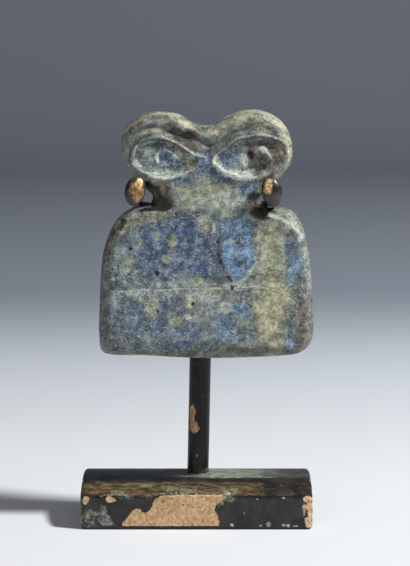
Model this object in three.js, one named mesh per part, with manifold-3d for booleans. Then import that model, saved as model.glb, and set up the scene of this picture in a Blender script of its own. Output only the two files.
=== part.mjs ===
// A carved stone eye idol on its display stand: a flat plaque with two eye lobes,
// held at the neck by a wire cradle on a thin post that rises from a D-section bar.
// Millimetres. X to the right, Y away from the viewer, Z up, origin under the bar's middle.
import * as THREE from 'three';
import { mergeVertices } from 'three/addons/utils/BufferGeometryUtils.js';
import Module from 'manifold-3d';

const wasm = await Module();
wasm.setup();

// ---- driving sizes -------------------------------------------------------------
const idolHeight = 45.2;        // bottom edge to the top of the right lobe
const idolThickness = 6.0;      // plaque, front face to back face
const idolEdgeRound = 2.5;      // how far the edge rounding reaches in
const idolMidX = 1.8;           // the idol hangs a little right of the bar's middle
const idolFoot = 31.0;          // height of its bottom edge above the table
const idolGap = 0.3;            // clear space between stone and metal

const baseLength = 42.4;        // bar, end to end
const baseDepth = 20.0;         // front to back
const baseShoulder = 6.35;      // height of the upright front and back faces
const baseRise = 2.3;           // arch of the top above those faces
const baseEndRound = 0.8;       // worn rounding round both ends
const baseEdgeBreak = 0.4;      // small break along the long edges

const postDiameter = 4.0;
const postFootX = 0.05;         // where the post's axis meets the table plane
const postLean = 1.2;           // degrees, to the right
const postSocketFloor = 3.0;    // metal left under the blind socket in the bar
const hubHeight = 5.4;          // cradle hub, from its foot to the middle of the wire
const spigotDiameter = 2.6;
const spigotLength = 3.0;
const fitClearance = 0.15;      // round the post's foot and round the spigot

const wireDiameter = 2.4;       // cradle wire
const leftReach = 3.4;          // how far outside the left notch's deepest point its arm passes
const rightReach = 2.4;         // and the right one
const armClearance = 0.3;       // between an arm and the shoulder under it
const neckDrop = 2.4;           // the wire runs this much lower behind the neck
const tipRise = 1.65;           // middle of a tip above the middle of its arm
const tipTurnIn = 0.4;          // and how far inward of it
const tipWidth = 3.75;          // flattened wire ends
const tipHeight = 5.4;
const tipThickness = 2.0;
const tipLean = 12;             // degrees, both tops lean inward

// ---- values that follow --------------------------------------------------------
const idolBackY = -(postDiameter / 2 + idolGap);
const idolFrontY = idolBackY - idolThickness;
const idolMidY = (idolBackY + idolFrontY) / 2;
const tipY = idolFrontY - idolGap - tipThickness / 2;

// ---- helpers -------------------------------------------------------------------
// closed mesh from points and triangles, turned the right way out
function closedMesh(points, triangles) {
  let volume = 0;
  const a = new THREE.Vector3(), b = new THREE.Vector3(), c = new THREE.Vector3();
  for (const [i, j, k] of triangles) {
    a.copy(points[i]); b.copy(points[j]); c.copy(points[k]);
    volume += a.dot(b.cross(c));
  }
  const index = triangles.flatMap(([i, j, k]) => (volume > 0 ? [i, j, k] : [i, k, j]));
  const geometry = new THREE.BufferGeometry();
  geometry.setAttribute('position', new THREE.Float32BufferAttribute(points.flatMap((p) => p.toArray()), 3));
  geometry.setIndex(index);
  return geometry;
}

function toSolid(geometry) {
  const bare = geometry.clone();
  bare.deleteAttribute('normal');
  bare.deleteAttribute('uv');
  const merged = mergeVertices(bare, 1e-4);
  return new wasm.Manifold(new wasm.Mesh({
    numProp: 3,
    vertProperties: new Float32Array(merged.getAttribute('position').array),
    triVerts: new Uint32Array(merged.index.array),
  }));
}

function toGeometry(solid) {
  const mesh = solid.getMesh();
  const geometry = new THREE.BufferGeometry();
  geometry.setAttribute('position', new THREE.Float32BufferAttribute(mesh.vertProperties, 3));
  geometry.setIndex(Array.from(mesh.triVerts));
  return geometry;
}

// round bar along a smooth path; radius(t) with t from 0 to 1, ends closed to a point or looped
function rod(keys, radius, { loop = false, steps = 40, sides = 10 } = {}) {
  const curve = new THREE.CatmullRomCurve3(keys.map((k) => new THREE.Vector3(...k)), loop, 'centripetal');
  const frames = curve.computeFrenetFrames(steps, loop);
  const points = [], triangles = [];
  const rings = loop ? steps : steps + 1;
  for (let i = 0; i < rings; i++) {
    const centre = curve.getPointAt(i / steps);
    for (let j = 0; j < sides; j++) {
      const turn = (j / sides) * 2 * Math.PI;
      points.push(centre.clone()
        .addScaledVector(frames.normals[i], radius(i / steps) * Math.cos(turn))
        .addScaledVector(frames.binormals[i], radius(i / steps) * Math.sin(turn)));
    }
  }
  for (let i = 0; i < (loop ? rings : rings - 1); i++) {
    for (let j = 0; j < sides; j++) {
      const p = i * sides + j, q = i * sides + ((j + 1) % sides);
      const r = ((i + 1) % rings) * sides + j, s = ((i + 1) % rings) * sides + ((j + 1) % sides);
      triangles.push([p, q, s], [p, s, r]);
    }
  }
  if (!loop) {
    const last = (rings - 1) * sides;
    points.push(curve.getPointAt(0), curve.getPointAt(1));
    for (let j = 0; j < sides; j++) {
      triangles.push([points.length - 2, (j + 1) % sides, j]);
      triangles.push([points.length - 1, last + j, last + ((j + 1) % sides)]);
    }
  }
  return closedMesh(points, triangles);
}

// solid of revolution about Z from [radius, height] pairs that start and end on the axis
function turned(profile, segments) {
  const lathe = new THREE.LatheGeometry(profile.map(([r, h]) => new THREE.Vector2(r, h)), segments);
  lathe.rotateX(Math.PI / 2);
  const bare = lathe.clone();
  bare.deleteAttribute('normal');
  bare.deleteAttribute('uv');
  const merged = mergeVertices(bare, 1e-4);
  const kept = [], index = merged.index.array;
  for (let i = 0; i < index.length; i += 3) {
    const [p, q, r] = [index[i], index[i + 1], index[i + 2]];
    if (p !== q && q !== r && r !== p) kept.push([p, q, r]);
  }
  const points = [];
  for (let i = 0; i < merged.getAttribute('position').count; i++) {
    points.push(new THREE.Vector3().fromBufferAttribute(merged.getAttribute('position'), i));
  }
  return closedMesh(points, kept);
}

// ---- the idol ------------------------------------------------------------------
// Its outline is given as shares of its height, from the middle of its bottom edge.
const outlineShares = {
  bottomRight: [[-0.026, 0.0], [0.159, 0.002], [0.298, 0.008], [0.378, 0.022], [0.423, 0.066]],
  rightSide: [[0.433, 0.143], [0.429, 0.248], [0.416, 0.398], [0.395, 0.510], [0.356, 0.586]],
  rightNeck: [[0.302, 0.6115], [0.243, 0.610], [0.2145, 0.645], [0.239, 0.690]],
  rightLobe: [[0.298, 0.733], [0.339, 0.797], [0.341, 0.875], [0.301, 0.953], [0.229, 0.995],
    [0.157, 0.999], [0.084, 0.977], [0.022, 0.942]],
  dip: [[-0.014, 0.9385]],
  leftLobe: [[-0.053, 0.954], [-0.118, 0.985], [-0.192, 0.992], [-0.268, 0.977], [-0.325, 0.927],
    [-0.342, 0.860], [-0.329, 0.798], [-0.301, 0.743]],
  leftNeck: [[-0.243, 0.688], [-0.2155, 0.655], [-0.226, 0.627], [-0.290, 0.611]],
  leftSide: [[-0.345, 0.577], [-0.383, 0.523], [-0.414, 0.430], [-0.429, 0.265], [-0.4325, 0.093]],
  bottomLeft: [[-0.422, 0.031], [-0.381, 0.015], [-0.228, 0.011]],
};
const outlineSteps = 120;

const outline = new THREE.CatmullRomCurve3(Object.values(outlineShares).flat()
  .map(([x, z]) => new THREE.Vector3(x * idolHeight, 0, z * idolHeight)), true, 'centripetal');
outline.arcLengthDivisions = 1200;
const rim = [];
for (let i = 0; i < outlineSteps; i++) rim.push(outline.getPointAt(i / outlineSteps));

// how far the surface stands from the mid plane, for a point that far in from the outline
function faceRise(inset) {
  const cos = Math.max(0, 1 - inset / idolEdgeRound);
  return (idolThickness / 2) * Math.pow(Math.sqrt(1 - cos * cos), 0.9);
}

function idolSolid() {
  // inward direction, eased along the edge so that the rounding never folds at a corner
  const at = (i) => (i + outlineSteps) % outlineSteps;
  const inward = rim.map((_, i) => {
    const run = rim[at(i + 1)].clone().sub(rim[at(i - 1)]);
    return new THREE.Vector3(-run.z, 0, run.x).normalize();
  });
  const reach = 3;
  const eased = inward.map((_, i) => {
    const sum = new THREE.Vector3();
    for (let k = -reach; k <= reach; k++) sum.add(inward[at(i + k)]);
    return sum.multiplyScalar(1 / (2 * reach + 1));
  });
  // rings from the front cap round the edge to the back cap
  const turnSteps = 8;
  const points = [], triangles = [];
  for (let r = 0; r <= turnSteps; r++) {
    const angle = -Math.PI / 2 + (Math.PI * r) / turnSteps;
    const inset = idolEdgeRound * (1 - Math.cos(angle));
    const y = Math.sign(angle) * faceRise(inset);
    for (let i = 0; i < outlineSteps; i++) {
      points.push(rim[i].clone().addScaledVector(eased[i], inset).setY(y));
    }
  }
  for (let r = 0; r < turnSteps; r++) {
    for (let i = 0; i < outlineSteps; i++) {
      const p = r * outlineSteps + i, q = r * outlineSteps + at(i + 1);
      const s = p + outlineSteps, t = q + outlineSteps;
      triangles.push([p, q, t], [p, t, s]);
    }
  }
  const flat = [];
  for (let i = 0; i < outlineSteps; i++) flat.push(new THREE.Vector2(points[i].x, points[i].z));
  const cap = THREE.ShapeUtils.triangulateShape(flat, []);
  const last = turnSteps * outlineSteps;
  for (const [i, j, k] of cap) {
    triangles.push([i, k, j]);
    triangles.push([last + i, last + j, last + k]);
  }
  return toSolid(closedMesh(points, triangles));
}

// carved lines lie on the front face: x and z as shares of the height; a third number is how
// far a brow's end runs out of the face, as a share of the groove tool's half width
const face = -idolThickness / 2;
function onFace(list, lift = 0) {
  return list.map(([x, z, out = 0]) => {
    const spot = new THREE.Vector3(x * idolHeight, 0, z * idolHeight);
    const inset = Math.min(...rim.map((p) => p.distanceTo(spot)));
    return [spot.x, -faceRise(inset) - lift - out * browWidth, spot.z];
  });
}

const leftEye = {
  rim: [[-0.284, 0.802], [-0.262, 0.872], [-0.216, 0.896], [-0.150, 0.893], [-0.092, 0.864],
    [-0.033, 0.826], [-0.052, 0.786], [-0.106, 0.752], [-0.180, 0.737], [-0.248, 0.757]],
  iris: [[-0.240, 0.806], [-0.200, 0.846], [-0.150, 0.842], [-0.108, 0.804], [-0.146, 0.766], [-0.204, 0.768]],
  pupil: [-0.156, 0.805],
  brow: [[-0.300, 0.895, 0.65], [-0.262, 0.922], [-0.190, 0.932], [-0.118, 0.917], [-0.062, 0.890], [-0.014, 0.862, 0.45]],
};
const rightEye = {
  rim: [[0.026, 0.806], [0.058, 0.850], [0.110, 0.886], [0.182, 0.903], [0.252, 0.899],
    [0.306, 0.872], [0.318, 0.826], [0.272, 0.780], [0.206, 0.747], [0.142, 0.738], [0.078, 0.752], [0.038, 0.777]],
  iris: [[0.137, 0.812], [0.168, 0.852], [0.218, 0.858], [0.257, 0.826], [0.236, 0.786], [0.180, 0.776]],
  pupil: [0.192, 0.820],
  brow: [[-0.014, 0.862, 0.45], [0.040, 0.890], [0.104, 0.925], [0.180, 0.941], [0.262, 0.926], [0.316, 0.893, 0.65]],
};
const socketDepth = 0.55;       // eye fields sunk below the face
const rimWire = 0.42;           // raised rim, half its width
const irisWire = 0.34;
const pupilSize = [2.1, 0.9, 1.15];  // half width, depth, half height of the pupil hollow
const browWidth = 1.1;          // half width of the tool that cut the brow groove
const browLift = 0.4;           // how far that tool stood out of the face

function carveEye(solid, eye) {
  const edge = new THREE.CatmullRomCurve3(onFace(eye.rim).map((k) => new THREE.Vector3(...k)), true, 'centripetal');
  const shape = new THREE.Shape(edge.getSpacedPoints(36).slice(0, 36).map((p) => new THREE.Vector2(p.x, p.z)));
  const field = new THREE.ExtrudeGeometry(shape, { depth: idolThickness, bevelEnabled: false });
  field.rotateX(Math.PI / 2);                       // now runs from y = 0 towards the front
  field.translate(0, face + socketDepth, 0);
  solid = solid.subtract(toSolid(field));
  solid = solid.add(toSolid(rod(onFace(eye.rim, -0.08), () => rimWire, { loop: true, steps: 36, sides: 8 })));
  solid = solid.add(toSolid(rod(onFace(eye.iris, -socketDepth), () => irisWire, { loop: true, steps: 22, sides: 7 })));
  const hollow = new THREE.SphereGeometry(1, 14, 8);
  hollow.scale(...pupilSize);
  hollow.translate(eye.pupil[0] * idolHeight, face + socketDepth, eye.pupil[1] * idolHeight);
  return solid.subtract(toSolid(hollow));
}

function carveBrow(solid, eye) {
  const groove = rod(onFace(eye.brow, browLift), () => browWidth, { steps: 26, sides: 10 });
  return solid.subtract(toSolid(groove));
}

let idolShape = idolSolid();
for (const eye of [leftEye, rightEye]) {
  idolShape = carveEye(carveBrow(idolShape, eye), eye);
}
const stone = new THREE.MeshStandardMaterial({ color: 0x5a6a86, roughness: 0.55, metalness: 0 });
const idol = new THREE.Mesh(toGeometry(idolShape), stone);
idol.name = 'idol';
idol.position.set(idolMidX, idolMidY, idolFoot);

// ---- the bar -------------------------------------------------------------------
const postAxis = new THREE.Matrix4()
  .makeRotationY(THREE.MathUtils.degToRad(postLean))
  .setPosition(postFootX, 0, 0);

function baseSection() {
  const half = baseDepth / 2, b = baseEdgeBreak;
  const archRadius = (half * half + baseRise * baseRise) / (2 * baseRise);
  const archHalf = Math.asin((half - b) / archRadius);
  const archMid = baseShoulder + baseRise - archRadius;
  const shape = new THREE.Shape();
  shape.moveTo(-half + b, 0);
  shape.lineTo(half - b, 0);
  shape.lineTo(half, b);
  shape.lineTo(half, baseShoulder - b);
  for (let i = 0; i <= 14; i++) {
    const angle = archHalf * (1 - (2 * i) / 14);
    shape.lineTo(archRadius * Math.sin(angle), archMid + archRadius * Math.cos(angle));
  }
  shape.lineTo(-half, baseShoulder - b);
  shape.lineTo(-half, b);
  return shape;
}

// the section runs along X and shrinks towards each end, which rounds the ends all over
function barSolid() {
  const section = baseSection().getPoints();
  const midHeight = (baseShoulder + baseRise) / 2;
  const stations = [];
  for (let k = 0; k <= 4; k++) {
    const angle = (Math.PI / 2) * (1 - k / 4);
    stations.push([-baseLength / 2 + baseEndRound * (1 - Math.sin(angle)), baseEndRound * (1 - Math.cos(angle))]);
  }
  const both = [...stations, ...stations.map(([x, inset]) => [-x, inset]).reverse()];
  const points = [], triangles = [], n = section.length;
  for (const [x, inset] of both) {
    const across = 1 - inset / (baseDepth / 2), up = 1 - inset / midHeight;
    for (const p of section) points.push(new THREE.Vector3(x, p.x * across, midHeight + (p.y - midHeight) * up));
  }
  for (let r = 0; r < both.length - 1; r++) {
    for (let i = 0; i < n; i++) {
      const p = r * n + i, q = r * n + ((i + 1) % n);
      triangles.push([p, q, q + n], [p, q + n, p + n]);
    }
  }
  const last = (both.length - 1) * n;
  for (const [i, j, k] of THREE.ShapeUtils.triangulateShape(section, [])) {
    triangles.push([i, k, j], [last + i, last + j, last + k]);
  }
  return toSolid(closedMesh(points, triangles));
}
const socket = turned([[0, postSocketFloor], [postDiameter / 2 + fitClearance, postSocketFloor],
  [postDiameter / 2 + fitClearance, 2 * (baseShoulder + baseRise)], [0, 2 * (baseShoulder + baseRise)]], 32);
socket.applyMatrix4(postAxis);
const lacquer = new THREE.MeshStandardMaterial({ color: 0x2c2a27, roughness: 0.35, metalness: 0.6 });
const base = new THREE.Mesh(toGeometry(barSolid().subtract(toSolid(socket))), lacquer);
base.name = 'stand_base';

// ---- where the wire goes -------------------------------------------------------
// each arm comes forward through the notch beside the neck, close over the shoulder
const wireR = wireDiameter / 2;
function armIn([notchX, notchZ], side, reachOut) {
  const at = new THREE.Vector3(notchX * idolHeight + side * reachOut, 0, notchZ * idolHeight + 0.27 * reachOut);
  const room = () => Math.min(...rim.map((p) => p.distanceTo(at)));
  const step = wireR / 100;
  while (room() < wireR + armClearance) at.x += side * step;
  while (room() > wireR + armClearance) at.z -= step;
  return { x: idolMidX + at.x, z: idolFoot + at.z };
}
const leftArm = armIn(outlineShares.leftNeck[1], -1, leftReach);
const rightArm = armIn(outlineShares.rightNeck[2], 1, rightReach);
const leftTip = { x: leftArm.x + tipTurnIn, z: leftArm.z + tipRise };
const rightTip = { x: rightArm.x - tipTurnIn, z: rightArm.z + tipRise };
const neckWireZ = leftArm.z - neckDrop;
const hubFoot = neckWireZ - hubHeight;
const postShoulder = hubFoot - fitClearance;

// ---- the post ------------------------------------------------------------------
const postMetal = new THREE.MeshStandardMaterial({ color: 0x1f1e1d, roughness: 0.3, metalness: 0.6 });
const post = new THREE.Mesh(turned([[0, postSocketFloor + fitClearance],
  [postDiameter / 2, postSocketFloor + fitClearance], [postDiameter / 2, postShoulder],
  [spigotDiameter / 2, postShoulder], [spigotDiameter / 2, postShoulder + spigotLength],
  [0, postShoulder + spigotLength]], 32), postMetal);
post.name = 'stand_post';
post.applyMatrix4(postAxis);

// ---- the cradle ----------------------------------------------------------------
// one wire: tip, through the notch beside the neck, behind the neck, and out the other side
const hubX = postFootX + Math.tan(THREE.MathUtils.degToRad(postLean)) * neckWireZ;

const wireKeys = [
  [leftTip.x + 0.15 * wireR, tipY - 0.07 * wireR, leftTip.z + 0.65 * wireR],
  [leftArm.x + 0.1 * wireR, tipY + 0.25 * wireR, leftArm.z + 0.5 * wireR],
  [leftArm.x, idolFrontY + 0.65 * wireR, leftArm.z + 0.15 * wireR],
  [leftArm.x, idolMidY, leftArm.z],
  [leftArm.x, idolBackY - 0.2 * wireR, leftArm.z - 0.3 * wireR],
  [leftArm.x + 0.7 * wireR, -0.3 * wireR, leftArm.z - 1.6 * wireR],
  [leftArm.x + 2.6 * wireR, -0.15 * wireR, neckWireZ],
  [hubX, 0, neckWireZ],
  [rightArm.x - 2.6 * wireR, -0.15 * wireR, neckWireZ],
  [rightArm.x - 0.7 * wireR, -0.3 * wireR, rightArm.z - 1.3 * wireR],
  [rightArm.x, idolBackY - 0.2 * wireR, rightArm.z - 0.3 * wireR],
  [rightArm.x, idolMidY, rightArm.z],
  [rightArm.x, idolFrontY + 0.65 * wireR, rightArm.z + 0.15 * wireR],
  [rightArm.x - 0.1 * wireR, tipY + 0.25 * wireR, rightArm.z + 0.5 * wireR],
  [rightTip.x - 0.15 * wireR, tipY - 0.07 * wireR, rightTip.z + 0.65 * wireR],
];

// the wire thins out where its ends are hammered into the tips
const hammeredRun = 0.07;       // share of the wire's length, at each end
function wireRadius(t) {
  const s = Math.min(1, Math.min(t, 1 - t) / hammeredRun);
  return wireR * (0.6 + 0.4 * s * s * (3 - 2 * s));
}

function pad(tip, lean) {
  const shape = new THREE.SphereGeometry(1, 14, 8);
  shape.scale(tipWidth / 2, tipThickness / 2, tipHeight / 2);
  shape.rotateY(THREE.MathUtils.degToRad(lean));
  shape.translate(tip.x, tipY, tip.z);
  return toSolid(shape);
}

let cradleShape = toSolid(rod(wireKeys, wireRadius, { steps: 54, sides: 10 }));
cradleShape = cradleShape.add(pad(leftTip, tipLean)).add(pad(rightTip, -tipLean));
const hub = turned([[0, hubFoot], [postDiameter / 2, hubFoot], [postDiameter / 2, neckWireZ],
  [0, neckWireZ + 0.5 * wireR]], 32);
hub.applyMatrix4(postAxis);
const spigotHole = turned([[0, hubFoot - spigotLength], [spigotDiameter / 2 + fitClearance, hubFoot - spigotLength],
  [spigotDiameter / 2 + fitClearance, hubFoot + spigotLength], [0, hubFoot + spigotLength]], 32);
spigotHole.applyMatrix4(postAxis);
cradleShape = cradleShape.add(toSolid(hub)).subtract(toSolid(spigotHole));
const wornBrass = new THREE.MeshStandardMaterial({ color: 0x6b5430, roughness: 0.4, metalness: 0.8 });
const cradle = new THREE.Mesh(toGeometry(cradleShape), wornBrass);
cradle.name = 'stand_cradle';

const figure = new THREE.Group();
figure.name = 'idol_figurine';
figure.add(idol, base, post, cradle);
export default figure;
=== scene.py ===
import math
import bpy
import numpy as np
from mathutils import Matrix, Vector, noise
from mathutils.geometry import delaunay_2d_cdt


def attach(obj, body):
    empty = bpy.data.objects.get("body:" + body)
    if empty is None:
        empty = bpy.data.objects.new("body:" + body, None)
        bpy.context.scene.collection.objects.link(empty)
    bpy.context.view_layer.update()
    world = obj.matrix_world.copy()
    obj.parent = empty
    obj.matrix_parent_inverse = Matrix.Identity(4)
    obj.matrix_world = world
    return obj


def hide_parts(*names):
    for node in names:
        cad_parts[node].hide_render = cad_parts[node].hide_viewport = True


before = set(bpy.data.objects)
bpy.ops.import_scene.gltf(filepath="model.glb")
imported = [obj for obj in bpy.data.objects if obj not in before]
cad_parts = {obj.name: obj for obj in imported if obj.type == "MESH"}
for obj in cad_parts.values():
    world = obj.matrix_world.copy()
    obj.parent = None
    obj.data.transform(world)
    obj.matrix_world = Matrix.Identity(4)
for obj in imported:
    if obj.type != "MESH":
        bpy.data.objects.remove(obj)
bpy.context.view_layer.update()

# The bar: a short length of solid brass, flat below and in front, arched on top, about 42 mm
# long. It was dipped in black-brown lacquer, which has since chipped off its front, rubbed thin
# along the arch and gone green in spots.
# Sizes are millimetres, here and down to the table.
BAR_LONG = 42.4
BAR_DEEP = 20.0
BAR_FACE = 6.35                     # upright front face
BAR_ARCH = 2.3                      # rise of the arch above it
BAR_END_WEAR = 0.8
BAR_EDGE_WEAR = 0.42


def grain(points, size, octaves=2, seed=0.0):
    """Noise at each point, about -1 to 1, with features of that size in mm."""
    shift = Vector((seed * 17.3, seed * 5.1, seed * 9.7))
    return np.array([noise.fractal(Vector(p) / size + shift, 0.9, 2.1, octaves) for p in points])


def ease(value, low, high):
    """0 below low, 1 above high, smooth between."""
    t = np.clip((np.asarray(value, float) - low) / (high - low), 0.0, 1.0)
    return t * t * (3.0 - 2.0 * t)


def band(value, start, full, fall, end):
    """1 from full to fall, easing to 0 at start and at end."""
    return ease(value, start, full) * (1 - ease(value, fall, end))


def hump(distance, width):
    """1 where the distance is 0, dying away smoothly to either side."""
    return np.exp(-(distance / width) ** 2)


def skin(name, points, faces, marks):
    """A smooth mesh object from points in mm, with one named mark per vertex for each wear, stain, painted
    shade or painted highlight.
    """
    mesh = bpy.data.meshes.new(name)
    mesh.from_pydata((np.asarray(points) * 0.001).tolist(), [], [list(map(int, f)) for f in faces])
    for mark, values in marks.items():
        layer = mesh.attributes.new(mark, "FLOAT", "POINT")
        layer.data.foreach_set("value", np.clip(values, 0.0, 1.0).astype(np.float32))
    mesh.shade_smooth()
    mesh.update()
    piece = bpy.data.objects.new(name, mesh)
    bpy.context.collection.objects.link(piece)
    return piece


def tube_faces(rings, around, capped=True):
    """Quads between rings of points laid one after another, and a face over each end."""
    faces = []
    for r in range(rings - 1):
        for i in range(around):
            a = r * around + i
            b = r * around + (i + 1) % around
            faces.append((a, b, b + around, a + around))
    if capped:
        last = (rings - 1) * around
        faces.append(tuple(range(around - 1, -1, -1)))
        faces.append(tuple(range(last, last + around)))
    return faces


def paint(code):
    """A colour code such as #8a7a5c as linear light."""
    parts = [int(code[i:i + 2], 16) / 255.0 for i in (1, 3, 5)]
    return tuple(c / 12.92 if c <= 0.04045 else ((c + 0.055) / 1.055) ** 2.4 for c in parts) + (1.0,)


def grey(level):
    """One number as a colour socket takes it."""
    return (level, level, level, 1.0)


class Finish:
    """A surface finish, mixed from the marks on a mesh and from grain in the material itself."""

    def __init__(self, name):
        self.material = bpy.data.materials.new(name)
        self.material.use_nodes = True
        self.nodes = self.material.node_tree.nodes
        self.links = self.material.node_tree.links
        self.shader = self.nodes["Principled BSDF"]
        self.place = self.nodes.new("ShaderNodeTexCoord").outputs["Object"]
        self.layers = 0
        self.colour = None

    def put(self, socket, value):
        if isinstance(value, bpy.types.NodeSocket):
            self.links.new(value, socket)
        elif isinstance(value, str):
            socket.default_value = paint(value)
        else:
            socket.default_value = value
        return socket

    def mark(self, name):
        node = self.nodes.new("ShaderNodeAttribute")
        node.attribute_name = name
        return node.outputs["Fac"]

    def speckle(self, size, detail=3.0, rough=0.55, stretch=(1, 1, 1)):
        """Grain with features of that size in mm, each layer starting at a place of its own."""
        self.layers += 1
        shape = self.nodes.new("ShaderNodeMapping")
        self.links.new(self.place, shape.inputs["Vector"])
        shape.inputs["Scale"].default_value = [s * 1000.0 / size for s in stretch]
        shape.inputs["Location"].default_value = (7.3 * self.layers, 2.9 * self.layers, -5.1 * self.layers)
        node = self.nodes.new("ShaderNodeTexNoise")
        self.links.new(shape.outputs[0], node.inputs["Vector"])
        node.inputs["Scale"].default_value = 1.0
        node.inputs["Detail"].default_value = detail
        node.inputs["Roughness"].default_value = rough
        return node.outputs["Fac"]

    def sums(self, how, a, b):
        node = self.nodes.new("ShaderNodeMath")
        node.operation = how
        self.put(node.inputs[0], a)
        self.put(node.inputs[1], b)
        return node.outputs[0]

    def centred(self, specks, amount):
        """A grain layer moved to lie round 0, and made that strong."""
        return self.sums("MULTIPLY", self.sums("SUBTRACT", specks, 0.5), amount)

    def uneven(self, value, specks, amount):
        """A value that a grain layer raises here and lowers there."""
        return self.sums("ADD", value, self.centred(specks, amount))

    def step(self, value, low, high, out_low=0.0, out_high=1.0):
        node = self.nodes.new("ShaderNodeMapRange")
        node.interpolation_type = "SMOOTHSTEP"
        self.put(node.inputs["Value"], value)
        node.inputs["From Min"].default_value = low
        node.inputs["From Max"].default_value = high
        node.inputs["To Min"].default_value = out_low
        node.inputs["To Max"].default_value = out_high
        return node.outputs["Result"]

    def shades(self, value, *tints):
        """Colours in even steps as the value goes from 0.3 to 0.7, the spread of one grain layer."""
        node = self.nodes.new("ShaderNodeValToRGB")
        self.put(node.inputs["Fac"], self.step(value, 0.3, 0.7))
        while len(node.color_ramp.elements) < len(tints):
            node.color_ramp.elements.new(0.5)
        for k, tint in enumerate(tints):
            node.color_ramp.elements[k].position = k / (len(tints) - 1)
            node.color_ramp.elements[k].color = paint(tint)
        return node.outputs["Color"]

    def over(self, under, top, amount):
        node = self.nodes.new("ShaderNodeMix")
        node.data_type = "RGBA"
        self.put(node.inputs["Factor"], amount)
        self.put(node.inputs[6], under)
        self.put(node.inputs[7], top)
        return node.outputs[2]

    def lay(self, top, amount):
        """One more layer of colour over the layers there are."""
        self.colour = self.over(self.colour, top, amount)

    def relief(self, height, depth, strength=1.0):
        node = self.nodes.new("ShaderNodeBump")
        node.inputs["Distance"].default_value = depth * 0.001
        node.inputs["Strength"].default_value = strength
        self.put(node.inputs["Height"], height)
        self.links.new(node.outputs[0], self.shader.inputs["Normal"])

    def coat(self, piece):
        piece.data.materials.append(self.material)


def bar_section():
    """Points round the bar's section as (depth, height), from the bottom front edge upwards."""
    half = BAR_DEEP / 2
    wear = BAR_EDGE_WEAR
    radius = (half ** 2 + BAR_ARCH ** 2) / (2 * BAR_ARCH)
    mid = BAR_FACE + BAR_ARCH - radius
    swing = math.asin((half - 0.15) / radius)
    corner = []
    for k in range(5):
        a = math.pi / 2 * k / 4
        corner.append((-half + wear * (1 - math.sin(a)), wear * (1 - math.cos(a))))
    front = [(-half, wear + (BAR_FACE - wear - 0.25) * k / 29) for k in range(1, 30)]
    lip = [(-half + 0.05, BAR_FACE - 0.09)]
    arch = []
    for k in range(91):
        a = -swing + swing * k / 90
        arch.append((radius * math.sin(a), mid + radius * math.cos(a)))
    left = corner + front + lip + arch
    right = [(-y, z) for y, z in reversed(left[:-1])]
    floor = [(half - wear - (BAR_DEEP - 2 * wear) * k / 30, 0.0) for k in range(1, 30)]
    return left + right + floor


def run_up(section):
    """How far each point of the section lies from the bottom front edge, round the surface."""
    steps = np.linalg.norm(np.diff(np.array(section), axis=0), axis=1)
    return np.concatenate([[0.0], np.cumsum(steps)])


def inside_loop(points, loop):
    """True for each 2-D point inside a closed loop."""
    points = np.asarray(points)
    loop = np.asarray(loop)
    hit = np.zeros(len(points), bool)
    for (x0, z0), (x1, z1) in zip(loop, np.roll(loop, -1, axis=0)):
        crosses = (z0 > points[:, 1]) != (z1 > points[:, 1])
        with np.errstate(divide="ignore", invalid="ignore"):
            edge = (x1 - x0) * (points[:, 1] - z0) / (z1 - z0) + x0
        hit ^= crosses & (points[:, 0] < edge)
    return hit


def off_line(points, line, closed=False):
    """Distance from each 2-D point to a line of points, and how far along it the nearest spot is."""
    points = np.asarray(points)
    line = np.asarray(line)
    ends = np.roll(line, -1, axis=0) if closed else line[1:]
    starts = line if closed else line[:-1]
    best = np.full(len(points), 1e9)
    along = np.zeros(len(points))
    for k, (a, b) in enumerate(zip(starts, ends)):
        run = b - a
        t = np.clip(((points - a) @ run) / max(run @ run, 1e-12), 0.0, 1.0)
        gap = np.linalg.norm(points - (a + t[:, None] * run), axis=1)
        nearer = gap < best
        best[nearer] = gap[nearer]
        along[nearer] = (k + t[nearer]) / len(starts)
    return best, along


def depth_inside(points, loop):
    """How far each 2-D point lies inside a closed loop, negative outside it."""
    gap, _ = off_line(points, loop, closed=True)
    return np.where(inside_loop(points, loop), gap, -gap)


# Where the lacquer has come off the front: the large bare place, small ones, and two pits in it.
# The first number runs along the bar from its middle, the second up the front from the bottom
# edge, and a small place also has its half width and half height.
BARE_PLACE = [(-13.6, 0.9), (-13.6, 1.5), (-12.9, 2.1), (-12.2, 3.1), (-11.6, 3.9), (-10.9, 4.2),
              (-10.2, 3.9), (-9.5, 3.4), (-8.8, 3.6), (-8.3, 4.1), (-7.9, 5.2), (-7.6, 5.9),
              (-6.8, 6.4), (-5.9, 6.6), (-3.0, 6.75), (1.0, 6.8), (4.6, 6.8), (5.6, 6.2),
              (4.4, 5.4), (3.5, 4.8), (3.4, 4.0), (3.8, 3.0), (4.1, 1.8), (4.1, 0.9)]
BARE_SPOTS = [(-20.2, 5.65, 0.65, 0.75), (-15.8, 5.9, 0.95, 0.55), (20.2, 5.9, 0.9, 0.6),
              (20.6, 4.6, 0.6, 0.9), (20.7, 3.2, 0.45, 1.0), (20.4, 2.0, 0.8, 0.6), (20.9, 1.0, 0.5, 0.6)]
OLD_PITS = [(-6.1, 5.5, 0.22, 0.25), (-6.0, 4.7, 0.2, 0.22)]
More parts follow.
